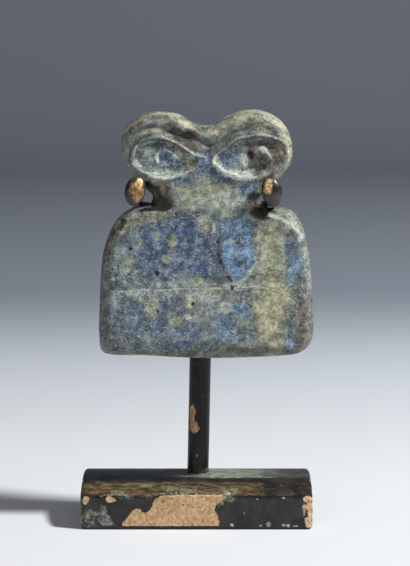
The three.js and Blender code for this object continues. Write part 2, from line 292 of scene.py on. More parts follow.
# Crumbs of pale lime and solder: along the foot of the front, by the bare place and on the edge.
CRUMBS = [(8.7, 3.26, 0.2, 0.2), (6.5, 1.1, 0.45, 0.4), (11.7, 0.95, 0.25, 0.2), (13.1, 1.2, 0.5, 0.45),
          (15.9, 1.05, 0.35, 0.25), (16.7, 1.0, 0.3, 0.2), (18.1, 0.9, 0.6, 0.2), (15.9, 6.15, 0.25, 0.18),
          (11.1, 5.9, 0.2, 0.15), (19.6, 4.0, 0.3, 1.2), (20.3, 1.2, 0.4, 0.6), (-15.9, 6.7, 1.2, 0.16),
          (-13.2, 6.75, 1.0, 0.14), (5.6, 7.1, 0.5, 0.5), (-17.3, 6.5, 0.25, 0.15)]
# Green corrosion along the arch, and chalky grey where damp has got under the lacquer.
GREEN_PLACES = [(-14.1, 7.6, 1.6, 0.7), (-4.8, 8.8, 1.7, 1.1), (-1.5, 7.8, 2.3, 0.9), (5.4, 7.3, 0.8, 0.7),
                (7.0, 8.4, 1.1, 1.2), (-9.5, 9.6, 2.0, 0.5), (-19.3, 3.2, 0.9, 0.5)]
CHALKY_SPOTS = [(-19.3, 2.3, 1.9, 2.1), (-4.5, 7.15, 4.6, 0.3), (2.4, 7.3, 3.4, 0.35), (5.9, 6.0, 1.3, 0.7),
                (4.3, 5.2, 0.8, 0.5), (-13.0, 6.3, 1.6, 0.4), (-8.4, 6.5, 1.5, 0.5)]
CHALKY_PLACE = [(-17.5, 4.9), (-16.5, 4.7), (-15.9, 3.1), (-14.7, 0.9), (-17.2, 0.8), (-18.0, 2.2)]


def spots(across, up, places, ragged, edge=0.35):
    """A soft-edged mark that is 1 inside any of the oval places."""
    mark = np.zeros(len(across))
    for x, z, rx, rz in places:
        reach = np.hypot((across - x) / rx, (up - z) / rz) + ragged * 0.35
        mark = np.maximum(mark, 1.0 - ease(reach, 1.0 - edge, 1.0 + edge))
    return mark


def bar():
    section = bar_section()
    climb = run_up(section)
    around = len(section)
    mid_up = (BAR_FACE + BAR_ARCH) / 2
    stations = []
    for shrink in np.linspace(0.02, 1.0, 26)[:-1]:
        stations.append((-BAR_LONG / 2, BAR_END_WEAR, shrink))
    for k in range(7):
        a = math.pi / 2 * (1 - k / 6)
        x = -BAR_LONG / 2 + BAR_END_WEAR * (1 - math.sin(a))
        stations.append((x, BAR_END_WEAR * (1 - math.cos(a)), 1.0))
    inner = np.linspace(-BAR_LONG / 2 + BAR_END_WEAR, BAR_LONG / 2 - BAR_END_WEAR, 200)[1:-1]
    middle = [(x, 0.0, 1.0) for x in inner]
    stations = stations + middle + [(-x, d, s) for x, d, s in reversed(stations)]
    points = []
    ups = []
    near_rim = []
    for x, inset, shrink in stations:
        wide = (1 - inset / (BAR_DEEP / 2)) * shrink
        tall = (1 - inset / mid_up) * shrink
        for (y, z), c in zip(section, climb):
            points.append((x, y * wide, mid_up + (z - mid_up) * tall))
            ups.append(c)
            near_rim.append(shrink)
    points = np.array(points)
    ups = np.array(ups)
    near_rim = ease(near_rim, 0.75, 1.0)
    along = points[:, 0]
    # where the lacquer is off the front, its edges a little ragged
    ragged = grain(points, 1.1, 3, 1)
    front = points[:, 1] < 0
    nibble = grain(points, 0.5, 3, 2)
    torn = np.c_[along + ragged * 0.12 + nibble * 0.2,
                 ups + (ragged * 0.08 + nibble * 0.2) * ease(ups, 1.0, 2.0)]
    bare = ease(depth_inside(torn, BARE_PLACE), -0.15, 0.15)
    bare = np.maximum(bare, spots(along, ups, BARE_SPOTS, ragged * 1.3)) * front
    end_knocks = ease(np.abs(along), BAR_LONG / 2 - 0.7, BAR_LONG / 2 - 0.05)
    knocks = ease(end_knocks * near_rim * 0.45 + grain(points, 1.4, 3, 3) * 0.8, 0.72, 0.84)
    bare = np.maximum(bare, knocks * np.where(front, ease(end_knocks, 0.0, 0.1), 1.0))
    # the old pits and a few pinholes are left dark in the bare place
    pinholes = ease(grain(points, 0.6, 2, 62), 0.5, 0.7) * ease(grain(points, 4.0, 2, 63), -0.1, 0.4)
    pitted = np.maximum(spots(along, ups, OLD_PITS, ragged), pinholes)
    crumbs = spots(along, ups, CRUMBS, ragged * 1.5) * front
    # the arch is rubbed to a dull gold along its front; the light grey at the right of its crest is a
    # painted reflection, and only the grey at the back is dust
    side_on = np.abs(along) < BAR_LONG / 2 - 0.05
    rubbed = band(ups, 6.35, 6.9, 10.4, 11.6) * (1 - 0.65 * ease(along, 8.0, 14.0)) * side_on
    rubbed *= 0.8 + 0.3 * grain(points * np.array([0.25, 1, 1]), 1.2, 3, 5)
    long_streaks = grain(points * np.array([0.3, 1, 1]), 2.0, 3, 6)
    rubbed = np.maximum(rubbed, 0.6 * ease(points[:, 1], 7.2, 9.0) * ease(long_streaks, 0.0, 0.5))
    dust = band(ups, 12.4, 13.2, 24.0, 30.0) * ease(along, -3.0, 3.6) * (1 - 0.75 * ease(along, 5.0, 19.5))
    dust *= 0.95 + 0.2 * grain(points, 4.0, 2, 12)
    # a painted highlight line along the crest
    painted_highlight_line = hump(ups - 13.7 + along * 0.03, 0.45) * band(along, -9.0, 0.0, 3.0, 6.0)
    back_dust = ease(ups, 20.0, 30.0) * ease(grain(points, 5.0, 2, 13), -0.2, 0.5)
    dust = np.maximum(np.maximum(dust, 0.75 * painted_highlight_line), 0.3 * back_dust) * side_on
    back_green = ease(points[:, 1], 5.0, 8.0) * ease(grain(points, 3.0, 3, 7), 0.3, 0.6)
    green = spots(along, ups, GREEN_PLACES, ragged * 1.8, 0.6) * front
    green = np.maximum(green, 0.7 * back_green) * side_on
    chalk = ease(depth_inside(torn, CHALKY_PLACE), -0.3, 0.4)
    dabs = spots(along, ups, CHALKY_SPOTS, ragged * 1.5 + nibble * 0.8, 0.6)
    chalk = np.maximum(chalk, 0.75 * dabs) * front
    foot_line = hump(ups - 1.0, 0.2) * ease(nibble, 0.0, 0.5) * (1 - ease(along, 4.0, 6.0))
    chalk = np.maximum(chalk, 0.7 * foot_line * front * side_on)
    # painted shade lies along the foot and on the left of the crest, where the idol's shadow falls; dirt
    # lies in the pits, and a dark line runs just under the arch's lip
    grime_and_shade = np.maximum(1 - ease(points[:, 2], 0.15, 0.65), 0.8 * pitted)
    lip = hump(ups - BAR_FACE + 0.1, 0.2) * ease(ragged, -0.6, 0.2) * (1 - 0.85 * bare)
    painted_crest_shadow = band(ups, 11.2, 12.4, 17.0, 22.0) * (1 - ease(along, -6.0, 1.0))
    grime_and_shade = np.maximum(grime_and_shade, np.maximum(lip, 0.75 * painted_crest_shadow) * side_on)
    # bare metal lies a lacquer's thickness lower, and knocks take a little off the edges
    centre = np.c_[np.clip(along, -20, 20), points[:, 1] * 0.9, mid_up + (points[:, 2] - mid_up) * 0.9]
    inward = centre - points
    inward /= np.maximum(np.linalg.norm(inward, axis=1), 1e-6)[:, None]
    edges = np.maximum(hump(ups - BAR_FACE, 0.35), end_knocks)
    sink = 0.05 * bare + 0.10 * edges * ease(grain(points, 1.8, 3, 9), 0.0, 0.6)
    sink += 0.012 * (grain(points, 3.5, 2, 10) + 1.0) * (points[:, 2] > 0.02)
    points = points + inward * sink[:, None]
    points[:, 2] = np.maximum(points[:, 2], 0.0)
    faces = [tuple(reversed(f)) for f in tube_faces(len(stations), around)]
    return skin("bar", points, faces, {"bare": bare, "rubbed": rubbed, "green": green, "chalk": chalk,
                                       "dust": dust, "crumbs": crumbs, "grime_and_shade": grime_and_shade})


def lacquer_finish(name, dark, light, metal):
    """Old lacquer over brass: marks on the mesh say where it is bare, rubbed, green, chalky or dusty, where
    a reflection is painted, and where painted shade and grime darken it.
    """
    f = Finish(name)
    fine = f.speckle(0.35, 4)
    cloud = f.speckle(3.2, 4)
    streak = f.speckle(0.8, 5, 0.75, (0.4, 1, 1))
    grit = f.speckle(0.45, 4, 0.75)

    def ragged(mark, spread, low, high, most=1.0):
        """How much of a mark shows, its edge broken up by the grain."""
        return f.step(f.uneven(f.mark(mark), grit, spread), low, high, 0.0, most)

    worn = f.step(f.uneven(f.mark("rubbed"), streak, 1.3), 0.15, 0.9, 0.0, 0.95)
    dust_and_sheen = f.step(f.uneven(f.mark("dust"), streak, 0.5), 0.0, 1.0)
    bare = ragged("bare", 0.5, 0.4, 0.6)
    green = ragged("green", 1.8, 0.45, 1.05, 0.8)
    chalk = ragged("chalk", 1.4, 0.3, 1.1, 0.8)
    crumbs = ragged("crumbs", 1.8, 0.4, 0.8, 0.9)
    f.colour = f.over(dark, light, f.step(cloud, 0.38, 0.68))
    f.lay("#4d4235", f.step(fine, 0.6, 0.78, 0.0, 0.3))
    f.lay(f.shades(streak, "#352b21", "#574833", "#736147", "#8f7f60"), worn)
    # grey dust, and on the right of the bar's crest a painted reflection with a painted highlight line
    f.lay(f.shades(streak, "#5f645d", "#80857b", "#a3a79b"), dust_and_sheen)
    raw = f.shades(grit, "#8f6d48", metal, "#dcbd94")
    raw = f.over(raw, "#cfa984", f.step(cloud, 0.45, 0.65, 0.0, 0.45))
    raw = f.over(raw, "#a5855a", f.step(cloud, 0.45, 0.3, 0.0, 0.4))
    f.lay(raw, bare)
    f.lay("#3b2c20", f.step(fine, 0.66, 0.74, 0.0, 0.8))
    f.lay(f.shades(grit, "#2a2d2e", "#4e5452", "#7e837e", "#b5b9ae"), chalk)
    f.lay(f.shades(grit, "#4f573f", "#727a5a", "#a0a588"), green)
    f.lay(f.shades(grit, "#7a6657", "#a99380", "#d3c4ae"), crumbs)
    # near-black: painted shade along the bar's foot and on the left of its crest, and dirt in the pits
    f.lay("#0c0b0b", f.step(f.mark("grime_and_shade"), 0.1, 1.0, 0.0, 0.9))
    f.put(f.shader.inputs["Base Color"], f.colour)
    f.put(f.shader.inputs["Metallic"], f.sums("MULTIPLY", worn, 0.3))
    shine = f.step(cloud, 0.3, 0.7, 0.2, 0.34)
    for rough, where in ((0.55, dust_and_sheen), (0.62, bare), (0.8, green), (0.7, chalk)):
        shine = f.over(shine, grey(rough), where)
    f.put(f.shader.inputs["Roughness"], shine)
    f.shader.inputs["Specular IOR Level"].default_value = 0.35
    f.relief(f.sums("ADD", f.sums("MULTIPLY", fine, 0.5), f.sums("MULTIPLY", cloud, 0.6)), 0.05, 0.5)
    return f


bar_piece = bar()
bar_lacquer = lacquer_finish("bar_lacquer", "#1c1b1b", "#34312f", "#c19e76")
bar_lacquer.coat(bar_piece)
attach(bar_piece, "root")
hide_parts("stand_base")

# The post: plain 4 mm brass rod, blackened, soldered into a blind hole in the bar. It leans a
# hair to the right and has one long chip on its front.
POST_WIDE = 4.0
POST_FOOT = 0.05                    # where its axis meets the table
POST_LEAN = math.tan(math.radians(1.2))
POST_LOW = 3.2
POST_STEP = 52.23                   # it thins to a spigot here, inside the cradle's hub
SPIGOT_WIDE = 2.6
SPIGOT_TOP = 55.1
# Its chips: radians round from the front, height above the table, and their half sizes.
POST_CHIPS = [(-0.7, 20.5, 0.38, 1.15), (-0.74, 19.0, 0.33, 1.1), (-0.5, 17.4, 0.46, 1.05),
              (-0.25, 17.2, 0.3, 0.7), (-0.1, 12.0, 0.1, 0.2), (2.4, 24.0, 0.25, 1.6), (2.9, 40.0, 0.3, 2.2)]


def post():
    around = 56
    heights = [(POST_LOW, 0.05), (POST_LOW, 1.85), (POST_LOW + 0.15, 2.0)]
    heights += [(z, POST_WIDE / 2) for z in np.linspace(POST_LOW + 0.5, POST_STEP - 0.2, 150)]
    heights += [(POST_STEP - 0.04, POST_WIDE / 2 - 0.08), (POST_STEP, SPIGOT_WIDE / 2 + 0.05),
                (POST_STEP + 0.1, SPIGOT_WIDE / 2), (SPIGOT_TOP - 0.2, SPIGOT_WIDE / 2),
                (SPIGOT_TOP, SPIGOT_WIDE / 2 - 0.2), (SPIGOT_TOP, 0.05)]
    points = []
    turns = []
    for z, r in heights:
        for i in range(around):
            a = 2 * math.pi * i / around
            points.append((POST_FOOT + POST_LEAN * z + r * math.sin(a), -r * math.cos(a), z))
            turns.append((a + math.pi) % (2 * math.pi) - math.pi)
    points = np.array(points)
    turns = np.array(turns)
    ragged = grain(points, 0.8, 3, 20)
    bare = spots(turns, points[:, 2], POST_CHIPS, ragged)
    rubbed = ease(grain(points * np.array([1, 1, 0.25]), 1.4, 3, 21), 0.1, 0.7) * 0.12
    rubbed = np.maximum(rubbed, 0.5 * hump(points[:, 2] - 9.0, 0.8))
    out = np.stack([np.sin(turns), -np.cos(turns), np.zeros(len(turns))], axis=1)
    points = points - out * (0.04 * bare + 0.01 * (grain(points, 2.5, 2, 22) + 1))[:, None]
    marks = {"bare": bare, "rubbed": rubbed}
    for clean in ("green", "chalk", "dust", "crumbs", "grime_and_shade"):
        marks[clean] = np.zeros(len(points))
    return skin("post", points, tube_faces(len(heights), around), marks)


post_piece = post()
post_lacquer = lacquer_finish("post_lacquer", "#0e0c0c", "#211c1a", "#8a6c4a")
post_lacquer.shader.inputs["Specular IOR Level"].default_value = 0.22
post_lacquer.coat(post_piece)
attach(post_piece, "root")
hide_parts("stand_post")

# The cradle: one 2.4 mm brass wire bent round behind the neck, brazed to a short hub that sits
# on the post. Its ends come forward through the notches and are hammered into upright ovals,
# once blackened, now rubbed back to gold on their faces.
WIRE_WIDE = 2.4
TIP_WIDE = 3.75
TIP_TALL = 5.4
TIP_THICK = 2.0
TIP_LEAN = 12.0
HUB_LOW = 52.38
NECK_WIRE_UP = 57.78
LEFT_ARM = (-11.34, 60.18)
RIGHT_ARM = (13.90, 60.00)
TIP_RISE = 1.65                     # the tips sit above their arms
TIP_TURN_IN = 0.4                   # and a little nearer the neck
STONE_BACK = -2.3
STONE_FRONT = -8.3
TIP_OUT = STONE_FRONT - 0.3 - TIP_THICK / 2


def flowing(keys, closed, count):
    """Even points along a smooth line through the keys, evenly tense at close and far keys."""
    keys = np.asarray(keys, float)
    n = len(keys)
    if closed:
        order = [(keys[(k - 1) % n], keys[k], keys[(k + 1) % n], keys[(k + 2) % n]) for k in range(n)]
    else:
        before = 2 * keys[0] - keys[1]
        after = 2 * keys[-1] - keys[-2]
        run = np.vstack([before, keys, after])
        order = [tuple(run[k:k + 4]) for k in range(n - 1)]
    dense = []
    for p0, p1, p2, p3 in order:
        d0 = max(np.linalg.norm(p1 - p0) ** 0.5, 1e-4)
        d1 = max(np.linalg.norm(p2 - p1) ** 0.5, 1e-4)
        d2 = max(np.linalg.norm(p3 - p2) ** 0.5, 1e-4)
        t1 = ((p1 - p0) / d0 - (p2 - p0) / (d0 + d1) + (p2 - p1) / d1) * d1
        t2 = ((p2 - p1) / d1 - (p3 - p1) / (d1 + d2) + (p3 - p2) / d2) * d1
        for t in np.linspace(0, 1, 60, endpoint=False):
            dense.append((2 * t ** 3 - 3 * t ** 2 + 1) * p1 + (t ** 3 - 2 * t ** 2 + t) * t1
                         + (-2 * t ** 3 + 3 * t ** 2) * p2 + (t ** 3 - t ** 2) * t2)
    dense.append(keys[0] if closed else keys[-1])
    dense = np.array(dense)
    reach = np.concatenate([[0.0], np.cumsum(np.linalg.norm(np.diff(dense, axis=0), axis=1))])
    wanted = np.linspace(0, reach[-1], count + 1 if closed else count)
    if closed:
        wanted = wanted[:-1]
    return np.stack([np.interp(wanted, reach, dense[:, k]) for k in range(dense.shape[1])], axis=1)


def wire_tube(line, radii, around):
    """Points and faces of a round wire along a line, its ends closed."""
    run = np.gradient(line, axis=0)
    run /= np.linalg.norm(run, axis=1)[:, None]
    side = np.cross(run[0], (0.0, 0.0, 1.0) if abs(run[0][2]) < 0.8 else (0.0, 1.0, 0.0))
    points = []
    for k in range(len(line)):
        side = side - run[k] * (side @ run[k])
        side /= np.linalg.norm(side)
        other = np.cross(run[k], side)
        for i in range(around):
            a = 2 * math.pi * i / around
            points.append(line[k] + radii[k] * (math.cos(a) * side + math.sin(a) * other))
    return np.array(points), tube_faces(len(line), around)


def oval(centre, half, lean, rows=24, around=32):
    """Points and faces of an upright oval button, leaning in the X-Z plane by that many degrees."""
    turn = math.radians(lean)
    points = []
    for r in range(rows + 1):
        up = -math.cos(math.pi * (r + 0.02) / (rows + 0.04))
        wide = math.sqrt(max(0.0, 1 - up * up))
        for i in range(around):
            a = 2 * math.pi * i / around
            x = half[0] * wide * math.cos(a)
            z = half[2] * up
            points.append((centre[0] + x * math.cos(turn) + z * math.sin(turn),
                           centre[1] + half[1] * wide * math.sin(a),
                           centre[2] - x * math.sin(turn) + z * math.cos(turn)))
    return np.array(points), tube_faces(rows + 1, around)


def cradle():
    r = WIRE_WIDE / 2
    left_tip = (LEFT_ARM[0] + TIP_TURN_IN, TIP_OUT, LEFT_ARM[1] + TIP_RISE)
    right_tip = (RIGHT_ARM[0] - TIP_TURN_IN, TIP_OUT, RIGHT_ARM[1] + TIP_RISE)
    mid = (STONE_FRONT + STONE_BACK) / 2
    hub_x = POST_FOOT + POST_LEAN * NECK_WIRE_UP

    def side_run(arm, tip, inward, dip):
        """The wire from a tip, back through its notch and round behind the neck."""
        x, z = arm
        return [(tip[0] + inward * 0.15 * r, TIP_OUT - 0.07 * r, tip[2] + 0.65 * r),
                (x + inward * 0.1 * r, TIP_OUT + 0.25 * r, z + 0.5 * r),
                (x, STONE_FRONT + 0.65 * r, z + 0.15 * r), (x, mid, z),
                (x, STONE_BACK - 0.2 * r, z - 0.3 * r), (x + inward * 0.7 * r, -0.3 * r, z - dip * r),
                (x + inward * 2.6 * r, -0.15 * r, NECK_WIRE_UP)]

    left = side_run(LEFT_ARM, left_tip, 1, 1.6)
    right = side_run(RIGHT_ARM, right_tip, -1, 1.3)[::-1]
    line = flowing(left + [(hub_x, 0.0, NECK_WIRE_UP)] + right, False, 240)
    t = np.linspace(0, 1, len(line))
    radii = r * (0.6 + 0.4 * ease(np.minimum(t, 1 - t), 0.0, 0.07))
    shells = [wire_tube(line, radii, 28)]
    half = (TIP_WIDE / 2, TIP_THICK / 2, TIP_TALL / 2)
    shells.append(oval(left_tip, half, TIP_LEAN))
    shells.append(oval(right_tip, half, -TIP_LEAN))
    hub_ups = np.linspace(HUB_LOW, NECK_WIRE_UP + 0.3, 30)
    hub = np.array([(POST_FOOT + POST_LEAN * z, 0.0, z) for z in hub_ups])
    widths = np.full(len(hub), POST_WIDE / 2)
    widths[-1] = 1.2
    widths[-2] = 1.7
    shells.append(wire_tube(hub, widths, 40))
    # a fillet of braze where the wire crosses the hub
    braze = np.array([(hub_x - 2.9 + 5.8 * k / 20, 0.0, NECK_WIRE_UP - 0.25) for k in range(21)])
    swell = 1.1 + 0.55 * np.sin(np.linspace(0, math.pi, 21))
    shells.append(wire_tube(braze, swell, 24))
    points = np.vstack([p for p, _ in shells])
    faces = []
    start = 0
    for p, fs in shells:
        faces += [tuple(i + start for i in f) for f in fs]
        start += len(p)
    rough = skin("cradle_rough", points, faces, {})
    # the shells become one skin
    knit = rough.modifiers.new("one_skin", "REMESH")
    knit.mode = "VOXEL"
    knit.voxel_size = 0.000135
    calm = rough.modifiers.new("calm", "SMOOTH")
    calm.factor = 0.5
    calm.iterations = 4
    ready = rough.evaluated_get(bpy.context.evaluated_depsgraph_get())
    mesh = bpy.data.meshes.new_from_object(ready)
    bpy.data.objects.remove(rough)
    count = len(mesh.vertices)
    flat = np.empty(count * 3)
    mesh.vertices.foreach_get("co", flat)
    points = flat.reshape(-1, 3) * 1000.0
    faces = [tuple(p.vertices) for p in mesh.polygons]
    ragged = grain(points, 0.8, 3, 30)
    front = 1 - ease(points[:, 1], TIP_OUT - 0.55, TIP_OUT - 0.05)
    # the places on the tips' faces that are rubbed back to gold
    face_left = [(left_tip[0] + 0.35, left_tip[2] + 0.1, 1.25, 1.95),
                 (left_tip[0] + 0.8, left_tip[2] + 1.5, 0.75, 1.1)]
    face_right = [(right_tip[0] - 0.75, right_tip[2] + 1.0, 0.85, 1.3),
                  (right_tip[0] - 0.6, right_tip[2] + 2.0, 0.7, 0.5)]
    bare = spots(points[:, 0], points[:, 2], face_left + face_right, ragged, 0.45) * front
    # the right tip's patch is polished brighter, and the upper right of the left tip carries a painted
    # highlight
    polish_and_highlight = spots(points[:, 0], points[:, 2], face_right + face_left[1:], ragged, 0.45) * front
    rubbed = ease(grain(points, 1.6, 3, 31), 0.0, 0.6) * 0.5
    dents = grain(points, 1.3, 2, 32) * 0.03
    normals = np.empty(count * 3)
    mesh.vertices.foreach_get("normal", normals)
    points = points + normals.reshape(-1, 3) * (dents - 0.02 * bare)[:, None]
    bpy.data.meshes.remove(mesh)
    return skin("cradle", points, faces, {"bare": bare, "polish_and_highlight": polish_and_highlight, "rubbed": rubbed})


def cradle_finish():
    f = Finish("cradle_brass")
    fine = f.speckle(0.3, 4)
    cloud = f.speckle(1.8, 4)
    f.colour = f.over("#1f1c1a", "#3f3a36", f.step(cloud, 0.35, 0.68))
    worn = f.step(f.sums("ADD", f.mark("rubbed"), f.sums("MULTIPLY", fine, 0.4)), 0.45, 0.95, 0.0, 0.6)
    f.lay("#6e5738", worn)
    bare = f.step(f.uneven(f.mark("bare"), fine, 0.8), 0.15, 0.8)
    dents = f.speckle(0.6, 5, 0.7)
    gold = f.shades(dents, "#3f2f1e", "#785c38", "#9a7a50", "#c5a87c")
    # brighter gold: polish on the right tip and a painted highlight on the left tip
    polish_and_highlight = f.shades(dents, "#6a5335", "#c6a46a", "#ecd09f", "#fff0cc")
    gold = f.over(gold, polish_and_highlight, f.step(f.mark("polish_and_highlight"), 0.3, 0.9))
    f.lay(gold, f.sums("MULTIPLY", bare, 0.95))
    f.put(f.shader.inputs["Base Color"], f.colour)
    f.put(f.shader.inputs["Metallic"], f.sums("MULTIPLY", bare, 0.5))
    f.put(f.shader.inputs["Roughness"], f.over(f.step(cloud, 0.3, 0.7, 0.22, 0.38), grey(0.36), bare))
    f.relief(f.sums("ADD", f.sums("MULTIPLY", fine, 0.4), cloud), 0.04, 0.5)
    return f


cradle_piece = cradle()
cradle_finish().coat(cradle_piece)
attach(cradle_piece, "root")
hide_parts("stand_cradle")

# The idol: a thin plaque of mottled blue stone, carved in one, about 45 mm tall. Two lobes over
# a pinched neck carry an eye each, cut as a ridged almond under a deep brow groove. The surface
# is worn smooth, pitted, crossed by one fine crack and stained tan and brown.
IDOL_TALL = 45.2
IDOL_MID = 1.8
IDOL_FOOT = 31.0
IDOL_THICK = 6.0
IDOL_ROUND = 2.5
LOBES_MEET = 2.1
OUTLINE = [(-0.026, 0.0), (0.159, 0.002), (0.298, 0.008), (0.378, 0.022), (0.423, 0.066),
           (0.433, 0.143), (0.429, 0.248), (0.416, 0.398), (0.395, 0.510), (0.356, 0.586),
           (0.302, 0.6115), (0.243, 0.610), (0.2145, 0.645), (0.239, 0.690),
           (0.298, 0.733), (0.339, 0.797), (0.341, 0.875), (0.301, 0.953), (0.229, 0.995),
           (0.157, 0.999), (0.084, 0.977), (0.022, 0.942), (-0.014, 0.9385),
           (-0.053, 0.954), (-0.118, 0.985), (-0.192, 0.992), (-0.268, 0.977), (-0.325, 0.927),
           (-0.342, 0.860), (-0.329, 0.798), (-0.301, 0.743),
           (-0.243, 0.688), (-0.2155, 0.655), (-0.226, 0.627), (-0.290, 0.611),
           (-0.345, 0.577), (-0.383, 0.523), (-0.414, 0.430), (-0.429, 0.265), (-0.4325, 0.093),
           (-0.422, 0.031), (-0.381, 0.015), (-0.228, 0.011)]
# Lines of the carving: across, up, half width, then how pale the crust on a ridge is, or how deep
# a brow groove runs.
LEFT_RIM = [(-11.4, 67.0, 0.29, 0.7), (-11.1, 68.9, 0.25, 0.55), (-10.1, 70.5, 0.18, 0.35),
            (-8.4, 71.2, 0.15, 0.6), (-6.6, 71.4, 0.15, 0.75), (-4.8, 70.9, 0.15, 0.8),
            (-3.1, 70.1, 0.16, 0.95), (-1.7, 69.1, 0.18, 0.95), (-0.4, 68.3, 0.18, 0.8),
            (1.6, 67.6, 0.18, 0.35), (0.5, 66.9, 0.15, 0.1), (-0.3, 65.9, 0.16, 0.25),
            (-1.5, 65.1, 0.29, 0.55), (-3.1, 64.6, 0.38, 0.75), (-5.1, 64.1, 0.42, 0.9),
            (-6.9, 64.2, 0.42, 0.9), (-8.9, 64.9, 0.36, 0.85), (-10.4, 65.8, 0.33, 0.8)]
RIGHT_RIM = [(3.1, 67.0, 0.33, 1), (3.5, 68.1, 0.22, 0.8), (4.6, 69.0, 0.15, 0.4),
             (6.1, 70.2, 0.15, 0.5), (7.5, 71.2, 0.16, 0.7), (9.7, 71.6, 0.16, 0.6),
             (11.8, 71.7, 0.16, 0.7), (13.8, 71.3, 0.16, 0.8), (15.4, 70.6, 0.16, 0.6),
             (16.4, 69.2, 0.18, 0.4), (16.2, 67.6, 0.18, 0.3), (15.1, 66.1, 0.22, 0.3),
             (13.3, 65.0, 0.29, 0.25), (11.1, 64.3, 0.45, 0.6), (9.1, 64.1, 0.60, 1),
             (7.3, 64.4, 0.64, 1), (5.5, 65.0, 0.60, 1), (4.1, 65.9, 0.50, 1)]
LEFT_RING = [(-9.8, 67.4, 0.22, 0.25), (-9.3, 68.5, 0.26, 0.4), (-8.0, 69.0, 0.26, 0.45),
             (-6.6, 69.1, 0.22, 0.35), (-4.9, 68.8, 0.26, 0.8), (-3.7, 68.0, 0.28, 0.9),
             (-2.8, 66.9, 0.24, 0.6), (-3.2, 65.8, 0.18, 0.3), (-4.8, 65.2, 0.18, 0.2),
             (-6.9, 65.1, 0.18, 0.2), (-8.7, 65.9, 0.18, 0.2)]
RIGHT_RING = [(8.4, 67.6, 0.36, 0.9), (9.0, 68.7, 0.28, 0.25), (10.4, 69.4, 0.24, 0.4),
              (11.8, 69.1, 0.30, 1.0), (12.9, 68.3, 0.28, 0.8), (13.6, 67.0, 0.18, 0.05),
              (12.7, 65.8, 0.18, 0.05), (10.9, 65.2, 0.22, 0.1), (9.3, 65.6, 0.25, 0.2),
              (8.5, 66.5, 0.32, 0.6)]
LEFT_BROW = [(-11.6, 70.9, 0.44, 0.2), (-10.2, 72.3, 0.58, 0.5), (-8.4, 73.0, 0.69, 0.6),
             (-6.2, 72.9, 0.78, 0.8), (-4.0, 72.2, 0.91, 1), (-1.9, 71.5, 0.91, 1),
             (0.3, 70.9, 0.84, 0.9), (2.1, 70.1, 0.76, 0.75)]
RIGHT_BROW = [(2.1, 70.1, 0.76, 0.75), (3.9, 70.3, 0.80, 0.7), (5.5, 71.1, 0.76, 0.5),
              (7.3, 72.3, 0.62, 0.35), (9.3, 72.9, 0.58, 0.3), (11.5, 73.0, 0.58, 0.3),
              (13.6, 72.6, 0.51, 0.25), (15.4, 71.8, 0.44, 0.1)]
# The left pupil's hollow, and the pits in the right eye with how deep each is.
PUPIL = (-5.4, 67.5, 1.7, 0.85)
PITS_IN_EYE = [(9.7, 68.1, 0.75, 0.95, 0.6), (11.9, 66.7, 1.2, 1.0, 0.35), (9.2, 70.1, 0.9, 0.6, 0.2)]
# The fine crack right across, below the middle.
CRACK = [(-15.4, 43.6), (-11.1, 43.8), (-8.4, 43.8), (-1.2, 44.1), (5.2, 44.2), (7.9, 44.4), (11.1, 44.4),
         (15.1, 43.7), (17.8, 42.4), (20.0, 41.2)]
# The light blue patch on the chest, clear at its edges, and the dark vein down its left side.
AZURE_PLACE = [(4.5, 56.6), (6.1, 57.2), (9.7, 57.4), (10.7, 56.1), (10.9, 53.4), (10.6, 51.3), (11.7, 49.3),
               (10.1, 47.4), (8.3, 45.5), (6.6, 44.5), (5.5, 46.5), (4.5, 49.7), (4.3, 52.5), (4.0, 54.7)]
VEIN = [(3.8, 57.4), (3.8, 52.6), (4.4, 49.0), (5.3, 46.2), (6.6, 44.2)]
# The line of the painted highlight along the top of the right shoulder.
SHOULDER_HIGHLIGHT = [(13.2, 57.5), (15.6, 56.6), (17.6, 55.2), (19.0, 53.2)]
# The larger pits, with their radius.
PITS = [(-11.8, 51.2, 0.2), (-13.4, 55.9, 0.25), (-7.1, 46.6, 0.24), (-10.9, 47.7, 0.2), (-0.6, 41.3, 0.26),
        (-14.2, 48.1, 0.25), (-11.8, 45.9, 0.2), (-7.1, 39.9, 0.25), (3.7, 52.5, 0.25), (-15.6, 50.3, 0.3),
        (1.2, 39.7, 0.2), (-3.7, 57.7, 0.25), (-9.1, 36.4, 0.2), (10.2, 48.8, 0.2)]
